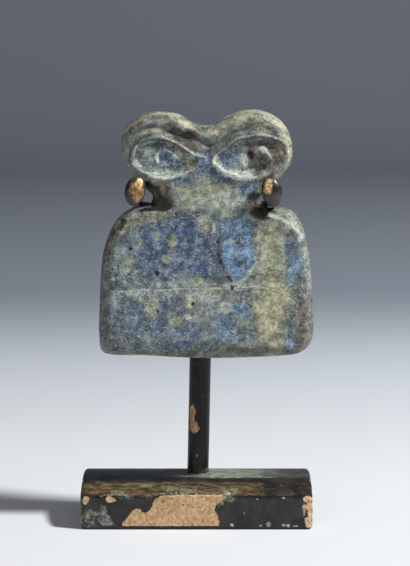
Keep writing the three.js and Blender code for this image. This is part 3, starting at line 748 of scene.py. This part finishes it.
# Where the stone's colours lie: across, up, half width, half height, strength, and
# for a slanting one its lean in degrees. Each list goes from the lobes down to the foot.
STAINS = {
    "blue": [
        (-7, 73.6, 1.4, 0.5, 0.4), (7, 72.9, 1.4, 0.9, 0.4), (8.2, 70, 1.4, 0.7, 0.5),
        (-7, 70.3, 1.8, 0.9, 0.5), (-5.3, 67.6, 2.5, 1.6, 1), (-8.4, 67.4, 1.6, 1.5, 0.5),
        (6.1, 67.4, 2.2, 1.6, 0.85), (1.7, 66.5, 2.2, 1.5, 0.95, 10), (5, 63.9, 2, 1.1, 0.9, 25),
        (-2, 63.4, 3, 1.3, 0.6, -15), (9, 62.7, 1.6, 1.3, 0.8), (-1.2, 61.2, 2.5, 1.5, 0.35),
        (5.2, 60.5, 3, 1.3, 0.3), (-1.5, 55.2, 5.4, 2.2, 0.7), (1.6, 53.4, 8.7, 4.7, 0.5),
        (-4.4, 51.9, 8, 6.2, 0.85), (16.7, 51.2, 1.4, 2.4, 0.8), (-12, 50.6, 2.2, 5.5, 0.45),
        (-8.4, 48.4, 5, 4, 0.6), (19.4, 48.4, 0.7, 4.4, 0.4), (1.2, 47.9, 3.6, 2.9, 0.95),
        (6.8, 47.7, 2.3, 1.8, 0.85, -30), (17, 46.6, 1.6, 1.8, 0.45), (-8.4, 43.3, 10, 12.8, 0.5),
        (-3.3, 41.5, 9, 1.8, 0.35), (8, 40.2, 1.8, 1.1, 0.7), (-11.6, 39.3, 3, 2.6, 0.6),
        (4.6, 38.2, 2.5, 1.5, 0.6), (-13.8, 38, 1.8, 3.6, 0.4), (-6.6, 37, 1.6, 1.1, 0.95),
        (9.7, 36, 3, 1.8, 0.3), (-2.1, 35.7, 7.6, 2.4, 0.6), (1.6, 34.6, 3.6, 1.5, 0.5),
        (17.3, 34.6, 1.3, 1.5, 0.6), (-3, 34, 2.2, 1.1, 0.8),
    ],
    "azure": [
        (5.3, 67.4, 1.8, 1.3, 0.4), (10, 62.3, 1.1, 0.9, 0.5), (17.3, 47.4, 1.6, 2.6, 0.55),
        (8, 40.4, 2.2, 1.6, 0.5), (4.6, 39.3, 1.8, 1.5, 0.4), (5.7, 35.7, 3.2, 1.6, 0.4),
        (17, 34.2, 1.1, 1.3, 0.5),
    ],
    # Along the top of the right shoulder and down the right edge the pale is a painted highlight.
    "pale": [
        (2.1, 72.5, 1.6, 1.3, 0.8), (11.8, 68.9, 0.7, 0.6, 0.95, 30), (-8.4, 68.7, 1.1, 0.5, 0.8),
        (-3.7, 68.1, 1.1, 0.7, 0.85, 40), (-8.7, 68, 1.4, 1.3, 0.35), (14.7, 68, 0.5, 2.6, 0.25),
        (-7, 67.8, 0.3, 1.1, 0.8), (8.4, 67.4, 0.7, 1.5, 1, -10), (9.3, 65, 1.4, 0.7, 0.9, 20),
        (6.4, 64.9, 2.2, 0.5, 0.7, 10), (-4.4, 64.9, 3.6, 0.7, 0.5), (5.2, 61.6, 4, 1.3, 0.4),
        (2.1, 60.3, 6.5, 2.2, 0.6), (8.2, 59.9, 2.5, 1.6, 0.65), (-3.9, 59, 4, 1.1, 0.4),
        (-9.3, 57.2, 4.3, 1.1, 0.45, 12), (14.9, 56.6, 1.6, 0.5, 0.95, -26),
        (17.3, 55.2, 1.6, 0.6, 1, -40), (3, 55, 0.5, 0.9, 0.7), (18.7, 53.2, 0.5, 1.1, 0.6, -20),
        (11.2, 52.5, 0.3, 4.4, 0.6), (6.8, 52.5, 0.5, 0.5, 0.6), (5.3, 51.9, 0.4, 1.5, 0.5),
        (6.1, 49.7, 0.7, 2.6, 0.35), (19.8, 48.4, 0.5, 8, 0.3), (-12, 46.1, 3.6, 2.6, 0.3),
        (7.9, 45.2, 2.2, 0.4, 0.5, -20), (-3, 44.6, 7.2, 0.9, 0.45), (7.1, 44.4, 2.5, 0.7, 0.8),
        (7.5, 44.1, 1.1, 0.5, 0.8), (-8.4, 43.2, 8, 1.3, 0.45), (1.6, 42.8, 4.3, 1.6, 0.55),
        (5.3, 40.6, 1.4, 1.1, 0.6, -35), (2.5, 39.7, 3.2, 1.5, 0.35), (-1.5, 39, 0.7, 0.5, 0.9),
        (20.3, 37.9, 0.5, 4.7, 0.2),
    ],
    "olive": [
        (-8.4, 74.7, 5.4, 1.6, 0.35), (10.8, 74.3, 7.2, 1.8, 0.5), (4.6, 72.9, 2.2, 1.1, 0.5, 30),
        (16, 70.7, 1.3, 4.7, 0.6), (-12.7, 68.9, 1.3, 4.7, 0.35), (12.9, 64.5, 2.5, 1.1, 0.8),
        (-7, 63.4, 1.6, 0.9, 0.5), (0.6, 61.8, 4.3, 1.6, 0.6), (-8.4, 61, 1.1, 1.1, 0.2),
        (-1.7, 59.7, 1.6, 1.6, 0.5), (10.4, 59.7, 1.4, 1.5, 0.4), (5.3, 57.9, 2.2, 0.9, 0.4),
        (9.7, 57, 1.1, 0.9, 0.4), (-8.4, 56.6, 4.7, 1.1, 0.55, 14), (-13.8, 56.6, 1.8, 1.5, 0.6, 30),
        (1.2, 55.7, 1.1, 1.3, 0.9), (17, 55.2, 3.2, 2.2, 0.4, -30), (-4, 52.5, 0.7, 1.3, 0.8),
        (-10.2, 52.5, 1.4, 1.8, 0.3), (13.3, 50.6, 2.7, 6.2, 0.9), (-5.3, 49.5, 0.9, 0.7, 0.95),
        (-12.3, 48.4, 1.3, 1.6, 0.35), (0.5, 45.3, 0.9, 0.9, 0.9), (13, 44.3, 3, 3.6, 0.5),
        (15, 40.4, 2.5, 3.6, 0.3), (-8, 40.1, 1.6, 1.3, 0.5), (-3.7, 38.2, 1.4, 1.6, 0.45),
        (1.7, 35.7, 1.6, 1.3, 0.4),
    ],
    "sand": [
        (11.8, 75.1, 3.6, 0.7, 0.35), (-4.4, 74.9, 3, 0.7, 0.4, -8), (8, 74.5, 2.2, 0.7, 0.4),
        (-1.7, 73.8, 1.8, 0.7, 0.6, -20), (15, 73.6, 1.8, 0.9, 0.6, -45), (2.8, 72.9, 1.8, 0.9, 0.5),
        (16.7, 68.9, 0.5, 3.6, 0.7), (3.9, 67, 0.7, 0.9, 0.7), (-0.7, 66.9, 0.8, 1.3, 0.75),
        (-5.7, 64.1, 1.6, 0.4, 0.7), (3.2, 62.3, 3, 0.9, 0.4), (-0.8, 60.5, 1.8, 0.7, 0.35),
        (1.6, 59.7, 1.1, 1.1, 0.4), (-7.3, 58.7, 1.4, 0.7, 0.35), (-4, 58.7, 1.8, 0.9, 0.3),
        (-3, 58.5, 0.7, 0.5, 0.5), (-13.6, 54.8, 0.6, 0.9, 0.7), (12.6, 50.3, 1.3, 4.4, 0.25),
        (2.3, 43.7, 2.2, 0.7, 0.4), (14.5, 42.8, 3, 1.8, 0.7, -20), (-8.4, 41.7, 2.2, 0.7, 0.4),
        (-0.8, 41.5, 1.1, 0.9, 0.7), (13.3, 39.3, 2.5, 6.6, 0.9), (13, 36, 1.8, 3, 0.5),
    ],
    # At the sides of the neck and in the brow grooves the brown is partly painted shade.
    "brown": [
        (-11.6, 73.6, 2.5, 1.5, 0.6, 40), (11.8, 73.2, 4, 0.5, 0.45), (-8.7, 73.2, 2.5, 0.7, 0.35),
        (9.7, 73.1, 4.3, 0.7, 0.45, -4), (-4.8, 72.5, 2.5, 0.9, 0.5, 5), (-1.5, 72, 4.3, 1.1, 0.8, 18),
        (6.1, 71.8, 2.5, 0.9, 0.4, -30), (4.6, 71.8, 1.8, 0.9, 0.35, 30), (-2.2, 70.9, 4, 1.3, 0.85, 20),
        (-0.8, 70, 3, 1.1, 0.85, 25), (-13.1, 69.3, 1.1, 4.6, 0.5), (15.4, 68.9, 0.9, 2.2, 0.5),
        (12.2, 68, 4, 3.1, 0.85), (-0.6, 66.9, 0.8, 1.1, 0.55), (10.6, 61.8, 1.3, 1.1, 0.4),
        (-5.7, 60.8, 2.2, 2.4, 1.1), (10, 59.4, 2.2, 1.8, 0.8), (11.5, 57.6, 2.5, 1.1, 0.7),
        (-10.5, 56.5, 4, 0.9, 0.6, 20), (-14, 55, 0.7, 1.3, 0.6, -30), (15.6, 54.1, 1.6, 0.9, 0.55, -40),
        (4.4, 52.5, 0.5, 3.6, 0.3, 4), (-15.4, 51.5, 0.9, 4.7, 0.6, -14), (16.7, 51, 1.1, 1.8, 0.3),
        (5.5, 47.7, 0.9, 4, 0.4, 14), (19.2, 45.3, 0.7, 1.8, 0.6), (19.2, 43.3, 0.7, 2.6, 0.5),
        (5.3, 43, 1.1, 1.5, 0.5), (-16.5, 41.5, 1.1, 12, 0.5), (19.4, 37.5, 1.1, 4.7, 0.85),
        (-5.7, 35.9, 0.9, 0.7, 0.2), (-14.5, 35.1, 1.4, 2.2, 0.35), (6.1, 32.9, 4.3, 0.9, 0.5),
        (11, 32.8, 5.8, 0.9, 0.75), (17, 32.4, 3, 0.7, 0.6), (-10.2, 32.2, 8, 0.7, 0.55),
        (0.6, 31.9, 6, 0.7, 0.6),
    ],
    # Near-black: dirt in the pits, and painted shade as well as dirt at the sides of the neck, in the notch
    # and in the brow grooves.
    "soot_and_shade": [
        (-4.4, 72.3, 0.9, 0.7, 0.4), (-2.2, 71.8, 3.2, 0.7, 0.5, 20), (-1.5, 71.2, 2.5, 0.7, 0.55, 25),
        (9.1, 70.1, 0.9, 0.7, 0.35), (9.7, 68.1, 0.7, 0.9, 0.75, -20), (11.5, 66.3, 1.3, 0.7, 0.55),
        (-8.6, 63, 0.9, 0.7, 0.8, -35), (-7.7, 61.8, 1.3, 1.6, 1.1, -30), (10.4, 61, 1.4, 1.1, 0.7),
        (-6.8, 60.3, 1.4, 1.6, 1.1, -15), (-5.7, 59.4, 1.4, 1.1, 0.9), (-5.9, 58.8, 1.8, 0.7, 0.9, 10),
        (-8.4, 58.3, 2.5, 0.4, 0.8, 8), (12, 57.9, 2.2, 1.1, 1.1, -5), (-12.9, 56.3, 0.4, 0.5, 0.6),
        (-13.6, 55.7, 0.5, 1.3, 0.7, -20), (-15.1, 54.1, 0.5, 0.9, 0.6, -20),
        (-11.8, 51.2, 0.4, 0.4, 0.8), (-7.1, 46.8, 0.4, 0.5, 0.7), (-0.6, 41.3, 0.3, 0.4, 0.9, -20),
    ],
}


def idol_rise(inset):
    """How far the face stands from the mid plane at that distance in from the outline."""
    cos = np.maximum(0.0, 1.0 - np.asarray(inset, float) / IDOL_ROUND)
    return IDOL_THICK / 2 * np.sqrt(1.0 - cos ** 2) ** 0.9


def idol_body():
    """The plain plaque: points, faces, and which points are on the carved side."""
    around = 620
    edge = flowing([(x * IDOL_TALL + IDOL_MID, z * IDOL_TALL + IDOL_FOOT) for x, z in OUTLINE], True, around)
    run = np.roll(edge, -1, axis=0) - np.roll(edge, 1, axis=0)
    inward = np.stack([-run[:, 1], run[:, 0]], axis=1)
    inward /= np.linalg.norm(inward, axis=1)[:, None]
    reach = 16
    eased = sum(np.roll(inward, k, axis=0) for k in range(-reach, reach + 1)) / (2 * reach + 1)
    points = []
    marks = []
    turns = list(np.linspace(-90, 0, 16)) + list(np.linspace(0, 90, 13))[1:]
    for turn in turns:
        a = math.radians(turn)
        inset = IDOL_ROUND * (1 - math.cos(a))
        ring = edge + eased * inset
        y = math.copysign(float(idol_rise(inset)), a) if abs(turn) > 1e-6 else 0.0
        points += [(p[0], y, p[1]) for p in ring]
        marks += [turn] * around
    faces = [tuple(reversed(f)) for f in tube_faces(len(turns), around, capped=False)]
    for side, pitch in ((-1, 0.18), (1, 0.4)):
        first = 0 if side < 0 else (len(turns) - 1) * around
        ring = np.array([(points[first + i][0], points[first + i][2]) for i in range(around)])
        low = ring.min(axis=0)
        high = ring.max(axis=0)
        grid = []
        for k, z in enumerate(np.arange(low[1], high[1], pitch * 0.866)):
            grid += [(x + (k % 2) * pitch / 2, z) for x in np.arange(low[0], high[0], pitch)]
        grid = np.array(grid)
        clear, _ = off_line(grid, ring[::2], closed=True)
        grid = grid[inside_loop(grid, ring) & (clear > pitch * 0.6)]
        cloud = [Vector(p) for p in ring] + [Vector(p) for p in grid]
        bounds = [(i, (i + 1) % around) for i in range(around)]
        made, _, cells, origin, _, _ = delaunay_2d_cdt(cloud, bounds, [list(range(around))], 1, 1e-7)
        where = {}
        for k, v in enumerate(made):
            source = origin[k][0] if origin[k] else -1
            if 0 <= source < around:
                where[k] = first + source
            else:
                where[k] = len(points)
                points.append((v.x, side * IDOL_THICK / 2, v.y))
                marks.append(side * 90.0)
        for cell in cells:
            loop = [where[k] for k in cell]
            faces.append(tuple(loop) if side < 0 else tuple(reversed(loop)))
    return np.array(points), faces, np.array(marks), edge


def by_line(points, keys, closed, count):
    """For each point: its distance from a smooth line, and the line's own values at the nearest spot."""
    line = flowing(keys, closed, count)
    gap, along = off_line(points, line[:, :2], closed)
    if closed:
        line = np.vstack([line, line[:1]])
    spot = along * (len(line) - 1)
    return gap, [np.interp(spot, np.arange(len(line)), column) for column in line[:, 2:].T], line[:, :2]


def carving(flat):
    """Height of the carving at each point of the face, and the marks that go with it."""
    height = np.zeros(len(flat))
    rims = np.zeros(len(flat))
    hollow_dirt_and_shade = np.zeros(len(flat))
    level = np.c_[flat, np.zeros(len(flat))]
    wobble = grain(level, 1.6, 3, 41)
    shifted = flat + np.c_[grain(level, 1.3, 3, 58), grain(level, 1.3, 3, 59)] * 0.22
    for keys in (LEFT_BROW, RIGHT_BROW):
        gap, (width, deep), _ = by_line(flat, keys, False, 100)
        cut = hump(gap, width * (1.0 + 0.12 * wobble)) * deep
        height -= 0.72 * cut
        # the groove's colour is darkened too: painted shade and dirt
        hollow_dirt_and_shade = np.maximum(hollow_dirt_and_shade, cut)
    for rim_keys, ring_keys in ((LEFT_RIM, LEFT_RING), (RIGHT_RIM, RIGHT_RING)):
        steadier = flat * 0.6 + shifted * 0.4
        gap, (width, pale), rim = by_line(steadier, rim_keys, True, 160)
        inside = inside_loop(steadier, rim)
        depth = np.where(inside, gap, -gap)
        height = np.where(inside, height * (1 - ease(gap, 0.0, 0.6)), height)
        width = width * (1.0 + 0.25 * wobble)
        ridge = hump(depth + 0.04, width)
        height += -0.52 * ease(depth, width * 0.6, width * 0.6 + 0.8) + (0.20 + 0.55 * width) * ridge
        rims = np.maximum(rims, ridge * pale)
        # a thin line of painted shade lies just inside the rim, under its upper lip
        lip = hump(depth - width - 0.22, 0.16) * ease(flat[:, 1], 66.5, 69.5)
        hollow_dirt_and_shade = np.maximum(hollow_dirt_and_shade, 0.8 * lip)
        gap, (width, pale), ring = by_line(shifted, ring_keys, True, 100)
        within = inside_loop(shifted, ring)
        ridge = hump(gap, width * (2.0 + 0.7 * wobble))
        height += (0.05 + 0.2 * pale) * ridge + np.where(within, 0.12 * ease(gap, 0.2, 1.2), 0.0)
        rims = np.maximum(rims, ridge * pale * (0.7 + 0.8 * wobble))
    x, z, rx, rz = PUPIL
    hollow = 1 - ease(np.hypot((flat[:, 0] - x) / rx, (flat[:, 1] - z) / rz) + 0.2 * wobble, 0.45, 1.2)
    height -= 0.34 * hollow
    hollow_dirt_and_shade = np.maximum(hollow_dirt_and_shade, 0.3 * hollow)
    # one upright nick of pale crust at the left of the pupil
    nick = hump(shifted[:, 0] + 6.9, 0.38) * hump(shifted[:, 1] - 67.5, 0.9)
    height += 0.05 * nick
    rims = np.maximum(rims, (0.6 + 0.6 * wobble) * nick)
    for x, z, rx, rz, deep in PITS_IN_EYE:
        hollow = 1 - ease(np.hypot((flat[:, 0] - x) / rx, (flat[:, 1] - z) / rz) + 0.25 * wobble, 0.4, 1.2)
        height -= 0.55 * deep * hollow
        hollow_dirt_and_shade = np.maximum(hollow_dirt_and_shade, deep * hollow)
    # the shallow dip between the eyes, and the scooped sides of the neck
    height -= 0.15 * hump(flat[:, 0] - 2.3, 1.1) * hump(flat[:, 1] - 67.6, 1.4)
    for x in (-6.6, 10.8):
        height -= 0.35 * hump(flat[:, 0] - x, 1.9) * hump(flat[:, 1] - 60.6, 2.2)
    return height, rims, hollow_dirt_and_shade


def stain_marks(points, flat, stray):
    """The stone's colours on its carved side, their edges wandering with the grain."""
    wander = np.c_[grain(points, 3.0, 4, 50), grain(points, 3.0, 4, 51)]
    marks = {}
    for stain, places in STAINS.items():
        total = np.zeros(len(points))
        for x, z, rx, rz, amount, *lean in places:
            a = math.radians(sum(lean))
            dx, dz = (flat + wander * min(1.0, 0.6 * min(rx, rz)) - (x, z)).T
            u = (dx * math.cos(a) + dz * math.sin(a)) / rx
            v = (-dx * math.sin(a) + dz * math.cos(a)) / rz
            total = np.maximum(total, amount * (1 - ease(np.hypot(u, v), 0.3, 1.6)))
        marks[stain] = total
    # the light blue patch is sharp at its foot and blurred above and on the right
    torn = flat + wander * 0.35
    inner = depth_inside(torn, AZURE_PLACE)
    blurred = 0.4 + 1.1 * ease(flat[:, 0], 5.5, 9.5) + 2.6 * ease(flat[:, 1], 52.5, 57.0)
    light_blue = (0.6 + 0.85 * grain(points, 1.9, 3, 61)) * ease(inner / blurred, -0.6, 1.0)
    marks["azure"] = np.maximum(marks["azure"], light_blue)
    marks["blue"] = np.maximum(marks["blue"], 0.55 * ease(inner, -0.4, 0.8))
    foot = hump(inner, 0.35) * (1 - ease(flat[:, 1], 49.5, 51.5)) * ease(flat[:, 0], 6.0, 7.5)
    marks["pale"] = np.maximum(marks["pale"] * (1 - 0.6 * (inner > 0)), foot)
    for stain in ("olive", "sand", "brown"):
        marks[stain] *= 1 - 0.7 * ease(inner, -0.4, 1.0)
    gap, _ = off_line(torn, VEIN)
    lower = 1 - ease(flat[:, 1], 48.5, 53.5)
    marks["vein"] = hump(gap, 0.26 + 0.3 * lower) * (0.45 + 0.35 * lower + 0.6 * stray)
    marks["vein"] *= 1 - 0.8 * ease(flat[:, 1], 53.0, 56.0)
    # a painted highlight along the top of the right shoulder
    gap, _ = off_line(torn, SHOULDER_HIGHLIGHT)
    marks["rim"] = 0.75 * hump(gap, 0.45)
    return marks


def lobe_strokes(flat):
    """Round each lobe the stone was worked in long strokes, and dirt has stayed in them."""
    right = flat[:, 0] >= LOBES_MEET
    lobe = np.where(right, 9.8, -5.6)
    out = flat[:, 0] - lobe
    up = flat[:, 1] - 66.0
    away = np.hypot(out / 1.1, up)
    strokes = grain(np.c_[away / 0.75, np.arctan2(up, out) * 1.3, lobe], 1.0, 3, 60)
    shown = ease(away, 5.2, 6.4) * ease(flat[:, 1], 62.5, 66.5)
    shown = shown * ease(np.abs(flat[:, 0] - LOBES_MEET), 0.4, 2.5)
    return 0.5 + 0.5 * strokes * shown


def idol():
    points, faces, turn, edge = idol_body()
    flat = points[:, [0, 2]]
    carved_side = turn < 0
    height = np.zeros(len(points))
    rims = np.zeros(len(points))
    hollow_dirt_and_shade = np.zeros(len(points))
    cut = carving(flat[carved_side])
    # the carving dies away as the face turns over the edge
    inset, _ = off_line(flat[carved_side], edge[::2], closed=True)
    keep = ease(inset, 0.15, 1.0)
    height[carved_side] = cut[0] * keep
    rims[carved_side] = cut[1] * ease(inset, 0.05, 0.5)
    hollow_dirt_and_shade[carved_side] = cut[2] * keep
    stray = grain(points, 1.0, 3, 42)
    gap, _ = off_line(flat + np.c_[stray, grain(points, 2.4, 2, 49)] * 0.14, flowing(CRACK, False, 160))
    crack = hump(gap, 0.12) * carved_side
    # the crack shows white only where its edges have flaked
    flaked = crack * ease(grain(points * np.array([1, 1, 0.3]), 1.8, 3, 57), -1.1, -0.1)
    flaked *= 0.7 + 0.3 * band(flat[:, 0], 2.0, 4.5, 10.0, 13.0)
    height -= 0.07 * crack
    pits = np.zeros(len(points))
    for x, z, r in PITS:
        far = np.hypot(flat[:, 0] - x, (flat[:, 1] - z) * 0.8) / r + stray * 0.3
        pits = np.maximum(pits, (1 - ease(far, 0.4, 1.1)) * carved_side)
    small_pits = ease(grain(points, 0.75, 2, 43), 0.42, 0.62) * ease(grain(points, 5.0, 2, 44), -0.1, 0.35)
    small_pits[carved_side] *= 1 - ease(rims[carved_side], 0.2, 0.6)
    height -= 0.22 * pits + 0.07 * small_pits
    # the surface rolls a little, is finely rough, and its edges are knocked
    height += grain(points, 7.0, 2, 45) * 0.10 + grain(points, 2.4, 3, 46) * 0.035
    height += grain(points, 0.8, 3, 47) * 0.018 - 0.04
    edge_band = hump(np.abs(turn) - 45.0, 30.0)
    height -= ease(grain(points, 2.6, 3, 48), 0.25, 0.7) * edge_band * 0.16
    # push every point out or in along the plain plaque's own surface direction
    plain = bpy.data.meshes.new("plaque")
    plain.from_pydata(points.tolist(), [], [list(map(int, f)) for f in faces])
    normal = np.empty(len(points) * 3)
    plain.vertices.foreach_get("normal", normal)
    bpy.data.meshes.remove(plain)
    points = points + normal.reshape(-1, 3) * height[:, None]
    points[:, 1] += (STONE_FRONT + STONE_BACK) / 2
    marks = stain_marks(points, flat, stray)
    # the back and the edges don't show in the photo: the same stone, plainer
    behind = ease(turn, -20.0, 40.0)
    for stain in ("azure", "pale", "soot_and_shade", "vein", "rim"):
        marks[stain] = marks[stain] * (1 - behind)
    for stain, size, low, high, amount in (("blue", 7.0, -0.2, 0.35, 0.75), ("olive", 9.0, 0.0, 0.5, 0.6),
                                           ("sand", 8.0, 0.1, 0.6, 0.5), ("brown", 10.0, 0.15, 0.6, 0.5)):
        even = amount * ease(grain(points, size, 3, 54 + size), low, high)
        marks[stain] = marks[stain] * (1 - behind) + even * behind
    marks["rim"] = np.maximum(rims, marks["rim"])
    marks["stroke"] = lobe_strokes(flat)
    marks["hollow"] = hollow_dirt_and_shade
    marks["pit"] = np.maximum(pits, small_pits * 0.6)
    marks["crack"] = flaked
    marks["edge"] = edge_band * ease(grain(points, 3.0, 3, 56), -0.3, 0.5)
    return skin("idol_stone", points, faces, marks)


def stone_finish():
    """Mottled blue stone: the stains run into each other, all of it peppered dark and pale."""
    f = Finish("idol_stone")
    scatter = f.speckle(0.45, 4, 0.75)
    mottle = f.speckle(1.4, 5, 0.65)
    drift = f.speckle(3.6, 4, 0.6)
    tone = f.speckle(1.5, 4, 0.85)
    second = f.speckle(0.6, 4, 0.8)
    dust = f.speckle(0.3, 3, 0.6)
    soil = f.speckle(0.34, 3, 0.6)
    scratch = f.speckle(0.34, 3, 0.7, (0.16, 1, 1))
    cloud = f.speckle(2.4, 3, 0.6)
    moss = f.speckle(0.9, 3, 0.6)
    blotchy = f.uneven(f.centred(scatter, 1.5), mottle, 1.0)

    def stained(mark, spread=1.0, low=0.05, high=0.7):
        """How much of a stain shows: its mark, made uneven by the grain."""
        return f.step(f.sums("ADD", f.mark(mark), f.sums("MULTIPLY", blotchy, spread)), low, high)

    def clustered(specks):
        """Specks that crowd together here and thin out there."""
        return f.uneven(specks, mottle, 0.45)

    f.colour = f.shades(tone, "#2b3238", "#50595d", "#6f7875", "#9fa391")
    f.lay(f.shades(second, "#333f4d", "#586369", "#80867a", "#abad99"), 0.5)
    blue = f.shades(tone, "#16233f", "#32486c", "#4b6794", "#8595a8")
    slate = f.shades(second, "#202a36", "#415361", "#65787f", "#a0aaa6")
    blue = f.over(blue, slate, f.step(mottle, 0.42, 0.66, 0.0, 0.85))
    f.lay(blue, stained("blue", 1.0, 0.05, 0.75))
    # broad clouds of darker and lighter stone, and yellow-green specks, before the paler stains
    f.lay("#1a242e", f.step(cloud, 0.36, 0.6, 0.45, 0.0))
    f.lay("#b9bfaf", f.step(cloud, 0.54, 0.74, 0.0, 0.4))
    f.lay("#8c8c66", f.step(moss, 0.6, 0.7, 0.0, 0.6))
    for stain, spread, tints in (("azure", 1.4, ("#365374", "#5a7ba0", "#769aba", "#a9bdc8")),
                                 ("pale", 1.0, ("#6b7877", "#919d96", "#b0baae", "#ced2c1")),
                                 ("olive", 1.0, ("#585f50", "#7f856d", "#9fa38b", "#bbbda3")),
                                 ("sand", 1.0, ("#737159", "#9c9a7e", "#b5b494", "#d2cfac"))):
        f.lay(f.shades(tone, *tints), stained(stain, spread))
    # the crack's flaked edges, scratches and pale specks, then the darker stains over them, which at the
    # neck's sides and in the brow grooves are partly painted shade
    f.lay("#2b343a", f.step(cloud, 0.34, 0.5, 0.3, 0.0))
    f.lay("#d6d3c1", f.sums("MULTIPLY", stained("crack", 0.4, 0.2, 0.8), 0.8))
    f.lay("#b9bfb4", f.step(scratch, 0.6, 0.74, 0.0, 0.55))
    f.lay("#c6cbc0", f.step(clustered(dust), 0.58, 0.72, 0.0, 0.75))
    brown = f.shades(tone, "#2b2523", "#514740", "#70655b", "#928773")
    f.lay(brown, stained("brown", 1.2, 0.1, 1.0))
    f.lay("#c1bd9f", f.step(f.mark("stroke"), 0.54, 0.78, 0.0, 0.45))
    f.lay("#3f3833", f.step(f.mark("stroke"), 0.46, 0.26, 0.0, 0.6))
    f.lay("#23211f", stained("vein", 0.9, 0.3, 0.9))
    # near-black: dirt in the pits, and painted shade at the neck's sides, in the notch and in the brow
    # grooves
    f.lay(f.shades(tone, "#070606", "#120f0e", "#25201d"), stained("soot_and_shade", 0.7, 0.1, 0.7))
    # painted shade and dirt in the hollows, pale crust on the ridges with a painted highlight on the right
    # shoulder, and dark specks over everything
    f.lay("#2a2623", f.step(f.mark("hollow"), 0.1, 1.0, 0.0, 0.5))
    crust_and_highlight = f.shades(second, "#97a099", "#b9c1b5", "#d9dccd")
    f.lay(crust_and_highlight, stained("rim", 0.9, 0.2, 0.85))
    f.lay("#b9b49c", f.sums("MULTIPLY", f.step(f.mark("edge"), 0.3, 0.9), 0.12))
    f.lay("#100e0f", f.step(f.mark("pit"), 0.35, 0.85, 0.0, 0.85))
    f.lay("#11151b", f.step(clustered(soil), 0.56, 0.7, 0.0, 0.9))
    f.put(f.shader.inputs["Base Color"], f.colour)
    f.put(f.shader.inputs["Roughness"], f.step(drift, 0.3, 0.7, 0.5, 0.68))
    f.shader.inputs["Specular IOR Level"].default_value = 0.4
    grit = f.sums("SUBTRACT", f.sums("MULTIPLY", dust, 0.5), soil)
    f.relief(f.sums("ADD", f.sums("MULTIPLY", scatter, 0.6), grit), 0.08, 0.6)
    return f


idol_piece = idol()
stone_finish().coat(idol_piece)
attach(idol_piece, "root")
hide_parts("idol")

# The table: one sheet of pale paper, swept up at the back, its colour going from white under the stand to
# grey behind as painted shade where the light falls off.
# It only stages the picture. Lengths from here on are metres.
def sheet():
    rows = [(-0.9 + 1.9 * k / 60, 0.0) for k in range(61)]
    bend = [math.radians(a) for a in range(10, 91, 10)]
    rows += [(1.0 + 0.3 * math.sin(a), 0.3 - 0.3 * math.cos(a)) for a in bend]
    rows += [(1.3, 0.3 + 0.15 * k) for k in range(1, 8)]
    verts = [(side, y, z) for y, z in rows for side in (-1.4, 1.4)]
    faces = [(2 * k, 2 * k + 1, 2 * k + 3, 2 * k + 2) for k in range(len(rows) - 1)]
    mesh = bpy.data.meshes.new("sheet")
    mesh.from_pydata(verts, [], faces)
    mesh.shade_smooth()
    piece = bpy.data.objects.new("sheet", mesh)
    bpy.context.collection.objects.link(piece)
    f = Finish("sheet_paper")
    apart = f.nodes.new("ShaderNodeSeparateXYZ")
    f.links.new(f.place, apart.inputs[0])
    # painted shade: the paper's colour darkens towards the back
    near = f.over("#dfe2e6", "#cbd1d9", f.step(apart.outputs["Y"], 0.02, 0.16))
    mid = f.over(near, "#8a929e", f.step(apart.outputs["Y"], 0.12, 0.34))
    far = f.over(mid, "#8a919c", f.step(apart.outputs["Y"], 0.3, 0.9))
    f.put(f.shader.inputs["Base Color"], far)
    f.shader.inputs["Roughness"].default_value = 0.9
    f.shader.inputs["Specular IOR Level"].default_value = 0.1
    f.coat(piece)
    return piece


sheet()

# The light: a soft lamp high on the right, a wide faint one on the left, and the room itself.
STAND_MIDDLE = (0.0, 0.0, 0.04)


def lamp(name, place, size, power, tint):
    """A round lamp of that size, turned to the middle of the stand."""
    light = bpy.data.lights.new(name, "AREA")
    light.shape = "DISK"
    light.size = size
    light.energy = power
    light.color = tint
    stand = bpy.data.objects.new(name, light)
    stand.location = place
    stand.rotation_euler = (Vector(STAND_MIDDLE) - Vector(place)).to_track_quat("-Z", "Y").to_euler()
    bpy.context.collection.objects.link(stand)


lamp("key", (0.66, -0.26, 0.78), 0.14, 14.4, (1.0, 0.992, 0.975))
lamp("fill", (-0.35, -0.75, 0.45), 0.6, 1.0, (0.98, 0.99, 1.0))
world = bpy.data.worlds.new("room")
world.use_nodes = True
world.node_tree.nodes["Background"].inputs["Color"].default_value = (0.62, 0.625, 0.64, 1.0)
world.node_tree.nodes["Background"].inputs["Strength"].default_value = 0.22
bpy.context.scene.world = world
bpy.context.scene.view_settings.view_transform = "Standard"

# The camera: a long lens 0.36 m in front of the stand, looking down a little, as in the photo.
LOOKS_DOWN = 7.11
view = bpy.data.cameras.new("view")
view.lens = 124.98
view.sensor_width = 36.0
view.clip_end = 10.0
eye = bpy.data.objects.new("view", view)
eye.location = (0.00155, -0.360, 0.089)
eye.rotation_euler = (math.radians(90.0 - LOOKS_DOWN), 0.0, 0.0)
bpy.context.collection.objects.link(eye)
bpy.context.scene.camera = eye
